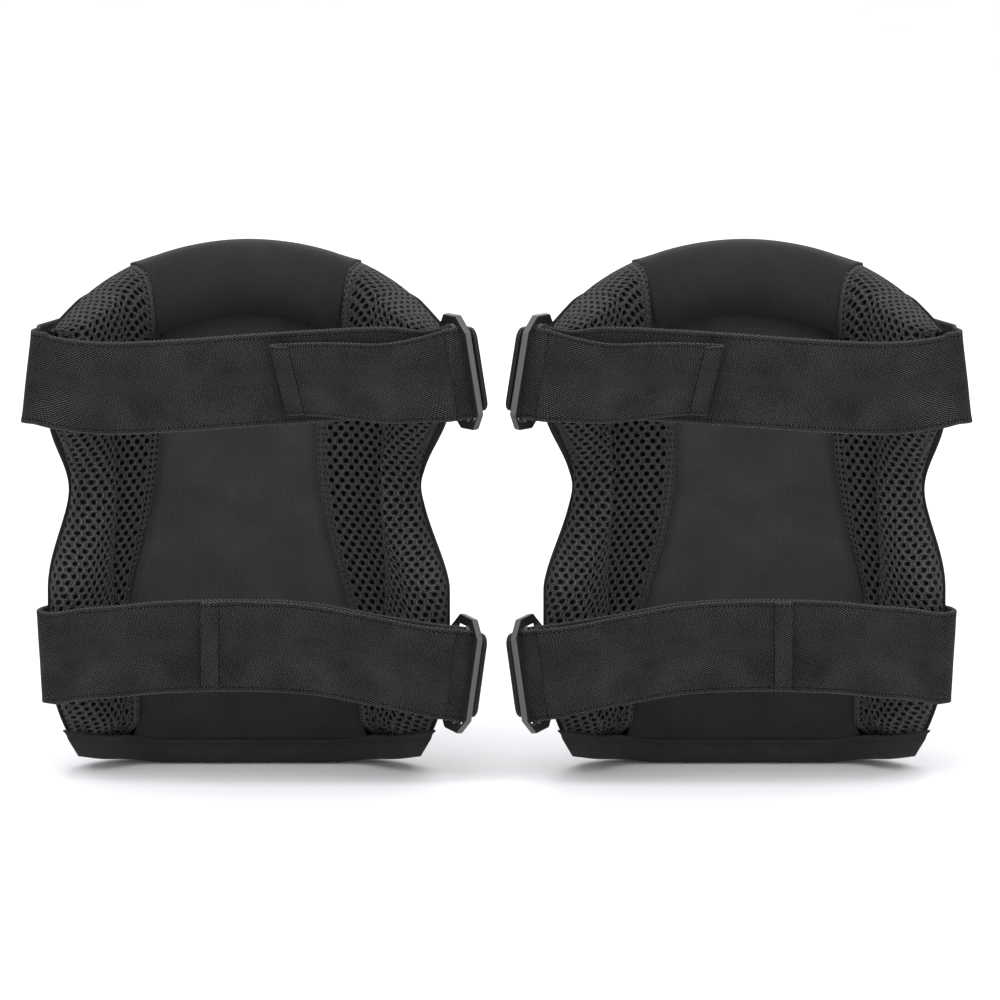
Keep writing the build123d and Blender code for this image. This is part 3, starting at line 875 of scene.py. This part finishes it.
def build_binding(side):
    """Bound edge around the outside of the rim: a flattened tape roll."""
    t, z = rim_path()
    t = t * (1 - 8.0 / np.maximum(np.abs(t), 60))
    z = z - 7.5 * np.clip((z - ARCH_CENTRE) / ARCH_RADIUS, 0, 1)
    centre = raised(t, z, 0 * t - CUP_OUT - 0.2)
    outward = -wall(t)[2]
    tangent = np.gradient(centre, axis=0)
    for _ in range(3):
        tangent[1:-1] = (tangent[:-2] + tangent[1:-1] * 2 + tangent[2:]) / 4
    away = unit(np.cross(unit(tangent), outward))
    angles = circle(16)
    loops = (centre[:, None] + away[:, None] * (5.5 * np.cos(angles))[None, :, None]
             + outward[:, None] * (0.9 * np.sin(angles))[None, :, None])
    uv = np.stack(np.meshgrid(run_length(centre), angles * 3, indexing="ij"), -1)
    obj = tube_mesh("edge_binding_tape", side, loops, uv, MATERIALS["tape"])
    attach(obj, side + "_pad")
    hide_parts(side + "_edge_binding")


def build_band(side):
    """Folded tape over the bottom edge, with a lip along its top and raw slanting ends."""
    section = [(-5.2, 11.2), (-6.4, 12.3), (-7.6, 12.6), (-8.4, 12.0), (-8.4, 11.0), (-7.4, 10.2),
               (-7.0, 9.4), (-7.3, 8.4), (-7.2, 6.0), (-6.2, 3.0), (-4.6, 1.0), (-2.6, 0.15), (4.0, 0.0),
               (10.0, 0.0), (13.4, 0.15), (15.0, 1.0), (15.5, 3.0), (15.6, 7.0), (15.4, 9.6), (15.8, 11.2),
               (15.2, 12.4)]
    columns = np.linspace(-1, 1, 220)
    length = np.linspace(0, 130, 1301)
    turn = np.clip((length - BASE_HALF) / BEND_RADIUS, 0, BEND) * (1 - 0.55 * smooth(66, 82, length))
    path_x = np.cumsum(np.cos(turn)) * 0.1
    path_y = -np.cumsum(np.sin(turn)) * 0.1
    points, uv = [], []
    run = 0.0
    for i, (offset, height) in enumerate(section):
        reach = BAND_END - 7.0 * (1 - height / 12.5)
        t = columns * np.interp(reach, path_x + offset * np.sin(turn), length)
        x, y, angle = (np.interp(np.abs(t), length, path) for path in (path_x, path_y, turn))
        x = np.sign(t) * x
        normal = np.stack([-np.sign(t) * np.sin(angle), -np.cos(angle), 0 * t], -1)
        puff = 0.175 * ripple(t, height * 3 + 0 * t, 7.0, 3.0) * (-1 if offset < 4 else 1)
        line = np.stack([x, y, height + 0.85 * bottom_lift(x)], -1)
        points.append(line - normal * (offset + puff)[:, None])
        if i:
            run += math.dist(section[i], section[i - 1])
        uv.append(np.stack([t, 0 * t + run], -1))
    points = np.array(points)
    facing = LEG_SIDE - UP / 2
    obj = sheet_mesh("bottom_band_tape", side, points, np.array(uv), MATERIALS["tape"], 0.7, facing)
    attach(obj, side + "_pad")
    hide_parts(side + "_bottom_band")
    row = points[5] + [0, -0.25, -0.3]
    lines = [(row, np.tile(LEG_SIDE, (len(row), 1)))]
    sewn = stitches("bottom_band_stitches", side, lines, 3.4, 2.3, 0.5, MATERIALS["thread"])
    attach(sewn, side + "_pad")


def surface_line(hand, offset):
    """Points and normals up a wing's surface, a fixed distance from the seam."""
    points, normal, front = wing_surface(hand)
    u, _ = true_lengths(points)
    rows = range(8, front - 3)
    facing = normal[0, rows]
    line = np.array([read_line(offset, u[:, row], points[:, row]) for row in rows]) + facing * 0.2
    return line * (hand, 1, 1), facing * (hand, 1, 1)


def build_seam_stitches(side):
    """Two rows of stitches on the mesh beside each long seam."""
    lines = [surface_line(hand, offset) for hand in (-1, 1) for offset in STITCH_ROWS]
    obj = stitches("seam_stitches", side, lines, STITCH_PITCH, 2.0, 0.85, MATERIALS["thread"])
    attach(obj, side + "_pad")


def build_loose_thread(side):
    """A loose end of sewing thread hanging over the clip-side mesh."""
    line = [(46.5, 119.6), (48.2, 118.4), (50.0, 118.9), (51.6, 117.7), (53.4, 118.6), (54.6, 120.6),
            (54.2, 122.6)]
    points, wide, _ = follow([((x, -5.6 - 1.2 * math.sin(x), z), (0, 1, 0)) for x, z in line], 0.5)
    angles = circle(6)[None, :, None]
    loops = points[:, None] + 0.28 * (wide[:, None] * np.cos(angles) + UP * np.sin(angles))
    obj = tube_mesh("loose_thread", side, loops, None, MATERIALS["thread"])
    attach(obj, side + "_pad")


# Straps

def follow(stations, spacing=1.0):
    """Smooth path through (point, width direction) stations: points, width directions and run length."""
    places = np.array([station[0] for station in stations], float)
    widths = np.array([station[1] for station in stations], float)
    chord = np.linalg.norm(np.diff(places, axis=0), axis=1)
    at = np.concatenate([[0], np.cumsum(np.sqrt(chord))])
    dense = np.linspace(0, at[-1], 1200)
    line, wide = (np.stack([hermite(dense, np.stack([at, column], -1)) for column in values.T], -1)
                  for values in (places, widths))
    run = run_length(line)
    even = np.linspace(0, run[-1], max(8, int(run[-1] / spacing)))
    return read_line(even, run, line), unit(read_line(even, run, wide)), even


def band_mesh(name, side, stations, width, thick, material, shape=None, wavy=0.0):
    """A flat band with rounded edges along smooth stations. shape(run) gives edge shifts (low, high)."""
    line, wide, run = follow(stations)
    normal = unit(np.cross(unit(np.gradient(line, axis=0)), wide))
    half = width / 2
    face = np.linspace(-half + 0.5, half - 0.5, 27)
    edge = [(half - 0.1, thick * 0.3), (half, 0), (half - 0.1, -thick * 0.3)]
    one_side = np.array([(v, thick / 2) for v in face] + edge)
    profile = np.concatenate([one_side, -one_side])
    low, high = shape(run) if shape else (0 * run, 0 * run)
    v = profile[:, 0][None] / half
    shift = np.where(v > 0, high[:, None] * np.abs(v), low[:, None] * np.abs(v))
    across = profile[:, 0][None] + shift
    sag = wavy * ripple(run[:, None] + 0 * v, across, 14.0, 0.9)
    bead = 0.18 * smooth(0.88, 0.93, np.abs(v)) * np.sign(profile[:, 1])[None]
    lift = profile[:, 1][None] + sag + bead
    loops = line[:, None] + wide[:, None] * across[..., None] + normal[:, None] * lift[..., None]
    uv = np.stack(np.meshgrid(run, profile[:, 0], indexing="ij"), -1)
    return tube_mesh(name, side, loops, uv, material)


def clip_axes(level):
    """The ring bar's centre, the directions along the wall, outwards and up the bar, and the lean."""
    up = np.array(JOINTS[f"left_{level}_ring_tilt"]["axis"])
    lean = math.atan2(up[0], up[2])
    turn = np.array([[math.cos(lean), 0, math.sin(lean)], [0, 1, 0], [-math.sin(lean), 0, math.cos(lean)]])
    along = turn @ np.array([math.cos(BEND), -math.sin(BEND), 0])
    outward = turn @ np.array([math.sin(BEND), math.cos(BEND), 0])
    return joint_point(level, "ring_tilt"), along, outward, up, turn


# For each strap: the lean of its fold, its way behind the leg, the way of its folded-back end from the ring,
# the place and lean of the hem, and how much narrower the end is at the hem
STRAP_LOOKS = {
    "upper": {
        "fold_up": (0.121, 0, 0.993),
        "route": [(-94, -61.2, 195.6), (-70, -63.0, 192.8), (-36, -64.0, 194.0), (0, -64.2, 196.6),
                  (34, -63.8, 198.8), (66, -61.4, 199.8)],
        "tab": [(88, -66.0, 198.6), (66, -67.0, 196.2), (46, -67.6, 197.0), (32, -67.7, 197.4)],
        "hem": (17.0, -67.8, 197.6), "hem_up": (-0.235, 0, 0.972), "narrow": 5.2,
    },
    "lower": {
        "fold_up": (-0.054, 0, 0.998),
        "route": [(-80, -55.4, 62.6), (-62, -61.4, 65.2), (-42, -63.8, 67.6), (0, -64.2, 68.6),
                  (30, -63.8, 67.0), (62, -61.4, 60.8)],
        "tab": [(86, -66.0, 56.0), (54, -67.2, 62.6), (26, -67.8, 67.6), (0, -67.9, 69.0)],
        "hem": (-20.0, -67.9, 69.2), "hem_up": (0.0, 0, 1.0), "narrow": 0.5,
    },
}


def build_strap(side, level):
    """One elastic strap: sewn root, fold, run behind the leg, wrap round the ring's bar."""
    looks = STRAP_LOOKS[level]
    fold = joint_point(level, "strap_swing")
    bar, _, _, up, turn = clip_axes(level)
    fold_up = np.array(looks["fold_up"])
    along = np.array([-math.cos(BEND), -math.sin(BEND), 0])
    root = (abs(fold[0]) - BASE_HALF - ROOT_OUT * math.sin(BEND)) / math.cos(BEND) - 6.0
    stations = [(fold - along * s, UP) for s in (root, root * 0.7, root * 0.45, 8.0)]
    stations.append((fold - along * 2, fold_up))
    for step in ((-1.4, -6.2, 0), (-1.0, -8.8, 0), (0.9, -10.6, 0), (5, -11.2, -0.4)):
        stations.append((fold + step, fold_up))
    stations += [(place, UP) for place in looks["route"]]
    wrap = [(WRAP_RADIUS * math.cos(angle), WRAP_RADIUS * math.sin(angle), 0)
            for angle in np.radians((80, 40, 0, -40, -80))]
    for step in [(-16, 2.6, 0), (-6, 3.2, 0), *wrap, (-4.0, -3.4, 0), (-7.0, -3.5, 0)]:
        stations.append((bar + turn @ step, up))
    obj = band_mesh(f"{level}_strap_elastic", side, stations, STRAP_WIDTH, STRAP_THICK,
                    MATERIALS["elastic"], wavy=0.25)
    start = to_frame(fold + [0, 3, 0], side)[0]
    end = to_frame(fold + [0, -3.5, 0], side)[0]
    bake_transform(obj)
    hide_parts(f"{side}_{level}_strap", f"{side}_{level}_anchor")


def build_tab(side, level):
    """The folded-back strap end, from the ring to its rolled hem."""
    looks = STRAP_LOOKS[level]
    bar, _, _, up, turn = clip_axes(level)
    hem_up = np.array(looks["hem_up"])
    hem = np.array(looks["hem"])
    stations = [(bar + turn @ step, up) for step in ((-6.0, -3.9, 0), (-10, -4.8, 0))]
    stations += [(place, UP) for place in looks["tab"][:-1]]
    stations.append((looks["tab"][-1], (UP + hem_up) / 2))
    for step in ((4, 0, 0), (1.0, 0.1, 0), (-1.2, -0.6, 0), (-1.7, -1.7, 0), (-0.9, -2.8, 0), (1.2, -3.2, 0),
                 (3.6, -2.9, 0), (5.8, -2.3, 0)):
        stations.append((hem + step, hem_up))

    def edges(run):
        """How far the low and the high edge shift along the end."""
        wave = np.sin(run / run[-1] * math.pi * 2.0)
        narrow = looks["narrow"] * smooth(0, 0.8 * run[-1], run)
        return narrow + 0.4 * wave, -narrow - looks["narrow"] * 0.25 * wave

    obj = band_mesh(f"{level}_tab_elastic", side, stations, STRAP_WIDTH - 0.6, STRAP_THICK * 0.9,
                    MATERIALS["elastic"], shape=edges, wavy=0.3)
    peel = joint_point(level, "end_peel")
    start = to_frame(peel + [3, 0, 0], side)[0]
    end = to_frame(peel + [-9, 0, 0], side)[0]
    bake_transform(obj)
    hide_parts(f"{side}_{level}_tab")
    reach = STRAP_WIDTH / 2 - 1.5 - looks["narrow"]
    rows = np.linspace(-reach, reach, 30)
    line = hem + [6.8, -1.05, 0] + rows[:, None] * hem_up
    lines = [(line, np.tile(LEG_SIDE, (len(line), 1)))]
    sewn = stitches(f"{level}_hem_stitches", side, lines, 2.6, 1.9, 0.55, MATERIALS["thread"])
    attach(sewn, f"{side}_{level}_end_body")
    build_hooks(side, level, hem, hem_up)


def build_hooks(side, level, hem, hem_up):
    """Hook tape under the folded-back end: a thin woven backing band."""
    stations = [(hem + [44 - 11 * i, 1.35, 0.2 * i], UP if i < 3 else hem_up) for i in range(5)]
    obj = band_mesh(f"{level}_hook_tape", side, stations, HOOK_WIDTH, HOOK_THICK, MATERIALS["hook"])
    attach(obj, f"{side}_{level}_end_body")
    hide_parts(f"{side}_{level}_hooks")


# Clips

def plate_mesh(name, side, outline, hole, w_range, frame_axes, material, bevel, face_material=None):
    """A plate with an outline and perhaps a hole in (along, up), thick outwards, with rounded edges."""
    centre, along, outward, up = frame_axes
    rings = [outline] + ([hole] if hole is not None else [])
    points, faces = [], []
    for w in w_range:
        for ring in rings:
            for a, u in ring:
                points.append(centre + along * a + up * u + outward * w)
    count = len(outline)
    total = count * len(rings)
    for i in range(count):
        k = (i + 1) % count
        faces.append((i, k, k + total, i + total))
        if hole is not None:
            faces.append((count + k, count + i, count + i + total, count + k + total))
            faces.append((i, count + i, count + k, k))
            faces.append((total + k, total + count + k, total + count + i, total + i))
    if hole is None:
        faces.append(tuple(range(count))[::-1])
        faces.append(tuple(range(total, total + count)))
    obj = make_mesh(name, side, points, faces, material)
    if face_material is not None:
        obj.data.materials.append(face_material)
        towards = to_frame([centre, centre + outward], side)
        towards = (towards[1] - towards[0]) / MM
        for polygon in obj.data.polygons:
            polygon.material_index = int(abs(float(np.array(polygon.normal) @ towards)) > 0.9)
    if signed_volume(obj.data) < 0:
        obj.data.flip_normals()
    modifier = obj.modifiers.new("soft_edges", "BEVEL")
    modifier.width = bevel * MM
    modifier.segments = 3
    modifier.limit_method = "ANGLE"
    modifier.angle_limit = math.radians(40)
    obj.data.polygons.foreach_set("use_smooth", [False] * len(obj.data.polygons))
    return obj


def rounded_outline(low, high, half_up, corner, count=5):
    """A rectangle with rounded corners as points (along, up), the same number whatever its size."""
    points = []
    far_up = half_up - corner
    for along, up, start in ((high - corner, far_up, 0), (low + corner, far_up, 90),
                             (low + corner, -far_up, 180), (high - corner, -far_up, 270)):
        for angle in np.radians(np.linspace(start, start + 90, count)):
            points.append((along + corner * math.cos(angle), up + corner * math.sin(angle)))
    return points


def cut_outline(low, high, half_up, cut, count=5):
    """A rectangle with straight cut corners, with as many points as rounded_outline gives."""
    points = []
    for along, up, way_along, way_up in ((high, half_up - cut, -1, 1), (low + cut, half_up, -1, -1),
                                         (low, cut - half_up, 1, -1), (high - cut, -half_up, 1, 1)):
        for step in np.linspace(0, cut, count):
            points.append((along + way_along * step, up + way_up * step))
    return points


def build_ring(side, level):
    """Ring buckle: a plate with cut corners and a window, and the round bar that the strap wraps."""
    bar, along, outward, up, _ = clip_axes(level)
    ring = plate_mesh(f"{level}_ring_frame", side, cut_outline(*RING_OUTSIDE), rounded_outline(*RING_WINDOW),
                      (-RING_HALF_THICK, RING_HALF_THICK), (bar, along, outward, up), MATERIALS["ring"], 0.55,
                      MATERIALS["receiver"])
    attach(ring, f"{side}_{level}_ring_body")
    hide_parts(f"{side}_{level}_ring")
    loops = np.array([[bar + up * height + (along * math.cos(angle) + outward * math.sin(angle)) * BAR_RADIUS
                       for angle in circle(20)] for height in np.linspace(-BAR_HALF, BAR_HALF, 9)])
    rod = tube_mesh(f"{level}_ring_bar", side, loops, None, MATERIALS["ring"])
    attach(rod, f"{side}_{level}_ring_body")


def build_receiver(side, level):
    """Receiver outside the ring: a plate with a raised rim, and the tongue that the ring hangs on."""
    axes = clip_axes(level)[:4]
    dark = MATERIALS["receiver"]
    plate = plate_mesh(f"{level}_receiver_plate", side, rounded_outline(*RECEIVER_PLATE), None, (5.8, 8.2),
                       axes, dark, 0.8)
    rim = plate_mesh(f"{level}_receiver_rim", side, rounded_outline(*RECEIVER_RIM),
                     rounded_outline(*RECEIVER_DISH), (7.9, 8.8), axes, dark, 0.35)
    tongue = plate_mesh(f"{level}_receiver_tongue", side, rounded_outline(*RECEIVER_TONGUE), None,
                        (0.2, 6.2), axes, dark, 0.3)
    for obj in (plate, rim, tongue):
        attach(obj, f"{side}_{level}_receiver_body")
    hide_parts(f"{side}_{level}_receiver")


def build_webbing(side, level):
    """Webbing tab from the cover to the receiver."""
    bar, along, outward, up, _ = clip_axes(level)
    down_wall = np.array([math.cos(BEND), -math.sin(BEND), 0])
    off_wall = np.array([math.sin(BEND), math.cos(BEND), 0])
    root = np.array([BASE_HALF, -BEND_RADIUS, bar[2]]) + off_wall * ROOT_OUT
    stations = [(root + down_wall * step, UP) for step in (6, 12, 18, 24)]
    stations += [(root + down_wall * 31 + off_wall * 1.2, UP * 0.6 + up * 0.4),
                 (bar + along * -19.5 + outward * 6.9, up), (bar + along * -16.0 + outward * 7.0, up)]
    tab = band_mesh(f"{level}_webbing_tab", side, stations, WEBBING_WIDTH, WEBBING_THICK,
                    MATERIALS["webbing"])
    flex = joint_point(level, "receiver_flap")
    start = to_frame(flex - down_wall * 3, side)[0]
    end = to_frame(flex + down_wall * 2, side)[0]
    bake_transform(tab)
    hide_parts(f"{side}_{level}_webbing")


def build_box_stitches(side):
    """Stitched boxes with a cross where the strap roots and webbing are sewn to the cover."""
    lines = []
    near, far = 9.0, 24.0
    for level in LEVELS:
        for hand, joint, half in ((-1, "strap_swing", 19.5), (1, "ring_tilt", 16.0)):
            middle = joint_point(level, joint)[2]
            corners = np.array([(near, -half), (far, -half), (far, half), (near, half), (near, -half),
                                (far, half), (far, -half), (near, half)])
            path = np.concatenate([np.linspace(a, b, 12) for a, b in zip(corners, corners[1:])])
            x = BASE_HALF + STITCH_OUT * math.sin(BEND) + path[:, 0] * math.cos(BEND)
            y = -BEND_RADIUS + STITCH_OUT * math.cos(BEND) - path[:, 0] * math.sin(BEND)
            normal = np.tile([hand * math.sin(BEND), math.cos(BEND), 0], (len(path), 1))
            lines.append((np.stack([hand * x, y, middle + path[:, 1]], -1), normal))
    obj = stitches("box_stitches", side, lines, 3.0, 2.1, 0.6, MATERIALS["thread"])
    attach(obj, side + "_pad")


# Cap

def cap_point(turn, r):
    """Point on the cap's outside: turn round its middle, r from 0 there to 1 at the foot of its side."""
    across, up = (np.sign(part) * np.abs(part) ** (2 / CAP_POWER) for part in (np.cos(turn), np.sin(turn)))
    slope = np.hypot(np.abs(across) ** (CAP_POWER - 1) / CAP_HALF[0],
                     np.abs(up) ** (CAP_POWER - 1) / CAP_HALF[1])
    on_top = np.clip(r / CAP_TOP_SHARE, 0, 1)
    inside = (1 - on_top) / slope
    x, z = CAP_HALF[0] * across * on_top, CAP_HALF[1] * up * on_top
    top = CAP_FRONT - CAP_EDGE + np.sqrt(CAP_EDGE ** 2 - np.clip(CAP_EDGE - inside, 0, CAP_EDGE) ** 2)
    foot = wall(arc_length(np.clip(x, -64, 64)), CUP_OUT)[1] + 0.3
    down = np.clip((r - CAP_TOP_SHARE) / (1 - CAP_TOP_SHARE), 0, 1)
    lines = 1.4 * groove(inside - 12.5, 0.9) + 0.9 * groove(inside - 17.0, 0.7)
    fluted = smooth(1.0, 3.5, inside) * (1 - smooth(8.0, 10.0, inside))
    flutes = 0.7 * fluted * (0.5 + 0.5 * np.cos(turn * CAP_FLUTES))
    return np.stack([x, top * (1 - down) + foot * down - lines - flutes, CAP_Z + z], -1)


def build_cap(side):
    """Hard cap with a rounded edge, a grooved border and fluted shoulder, and its rubber treads."""
    rings = np.concatenate([np.linspace(0.002, 0.58, 24), np.linspace(0.59, 1.0, 90)])
    r, turn = np.meshgrid(rings, circle(288), indexing="ij")
    points = cap_point(turn, r)
    uv = points[..., [0, 2]]
    obj = sheet_mesh("cap_shell_moulding", side, points, uv, MATERIALS["cap"], 2.3, KNEELING_SIDE, wrap=True)
    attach(obj, side + "_pad")
    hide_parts(side + "_cap_shell")
    low, high = (to_local(corner) for corner in TREAD_BOX)
    half = (high[0] - low[0]) / 2
    pitch = (high[2] - low[2] - TREAD_HEIGHT) / (TREADS - 1)
    outline = rounded_outline(-half, half, TREAD_HEIGHT / 2, 5)
    for i in range(TREADS):
        centre = np.array([0, low[1], low[2] + TREAD_HEIGHT / 2 + pitch * i])
        axes = (centre, np.array([1.0, 0, 0]), KNEELING_SIDE, UP)
        bar = plate_mesh(f"cap_tread_{i + 1}", side, outline, None, (-0.8, high[1] - low[1]), axes,
                         MATERIALS["rubber"], 0.7)
        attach(bar, side + "_pad")
        if i == 0:
            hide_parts(side + "_cap_treads")


# Assembly

def dress_inner(side):
    """The sealed inner pieces keep their CAD shape and get their own materials."""
    for node, key in (("front_foam", "foam"), ("gel_insert", "gel")):
        obj = frame["nodes"][f"{side}_{node}"]
        obj.data.materials.clear()
        obj.data.materials.append(MATERIALS[key])


def build_pad(side):
    """Every piece of one pad."""
    for hand in (-1, 1):
        build_wing(side, hand)
    build_centre_panel(side)
    build_top_roll(side)
    build_bottom_roll(side)
    build_cover(side)
    build_binding(side)
    build_band(side)
    build_seam_stitches(side)
    build_loose_thread(side)
    build_box_stitches(side)
    for level in LEVELS:
        build_strap(side, level)
        build_tab(side, level)
        build_ring(side, level)
        build_receiver(side, level)
        build_webbing(side, level)
    build_cap(side)
    dress_inner(side)


# Stage, in metres, watts and degrees
FLOOR_SIZE = 80.0
SKY_STRENGTH = 1.12
LIGHTS = (("key", (-0.3, -0.9, 1.5), 14), ("fill", (0.9, -1.3, 0.7), 5), ("back", (0.2, 1.3, 1.2), 8))
LIGHT_SIZE = 1.2
LIGHT_AIM = (0, 0, 0.12)
CAMERA_DISTANCE = 8.0
CAMERA_ELEVATION = 10.0
FRAME_WIDTH = 0.480
AIM = (0.0016, LINING_Y * MM, 0.1277)


def build_stage():
    """Pale floor and soft light from above, in front and behind."""
    bpy.ops.mesh.primitive_plane_add(size=FLOOR_SIZE, location=(0, 0, -0.0005))
    floor = bpy.context.object
    floor.name = "floor"
    m = Maker("pale_floor", 0.9, specular=0.1)
    m.colour(m.ramp(m.noise(m.place(), 6.0), [(0.3, 0.86), (0.7, 0.9)]))
    floor.data.materials.append(m.material)
    world = bpy.data.worlds.new("studio")
    world.use_nodes = True
    world.node_tree.nodes["Background"].inputs[0].default_value = (1, 1, 1, 1)
    world.node_tree.nodes["Background"].inputs[1].default_value = SKY_STRENGTH
    bpy.context.scene.world = world
    for name, where, power in LIGHTS:
        light = bpy.data.lights.new(name, "AREA")
        light.size = LIGHT_SIZE
        light.energy = power
        obj = bpy.data.objects.new(name, light)
        bpy.context.scene.collection.objects.link(obj)
        obj.location = where
        direction = np.array(LIGHT_AIM) - np.array(where)
        obj.rotation_euler = Vector(direction).to_track_quat("-Z", "Y").to_euler()


def build_camera():
    """A distant camera, a little above level, that sees both pads."""
    camera = bpy.data.cameras.new("camera")
    camera.sensor_width = 36.0
    camera.lens = camera.sensor_width * CAMERA_DISTANCE / FRAME_WIDTH
    obj = bpy.data.objects.new("camera", camera)
    bpy.context.scene.collection.objects.link(obj)
    tilt = math.radians(CAMERA_ELEVATION)
    back = np.array([0, -math.cos(tilt), math.sin(tilt)])
    obj.location = np.array(AIM) + back * CAMERA_DISTANCE
    obj.rotation_euler = (math.pi / 2 - tilt, 0, 0)
    bpy.context.scene.camera = obj


build_stage()
build_camera()
for pad_side in SIDES:
    build_pad(pad_side)
bpy.context.scene.view_settings.view_transform = "Standard"
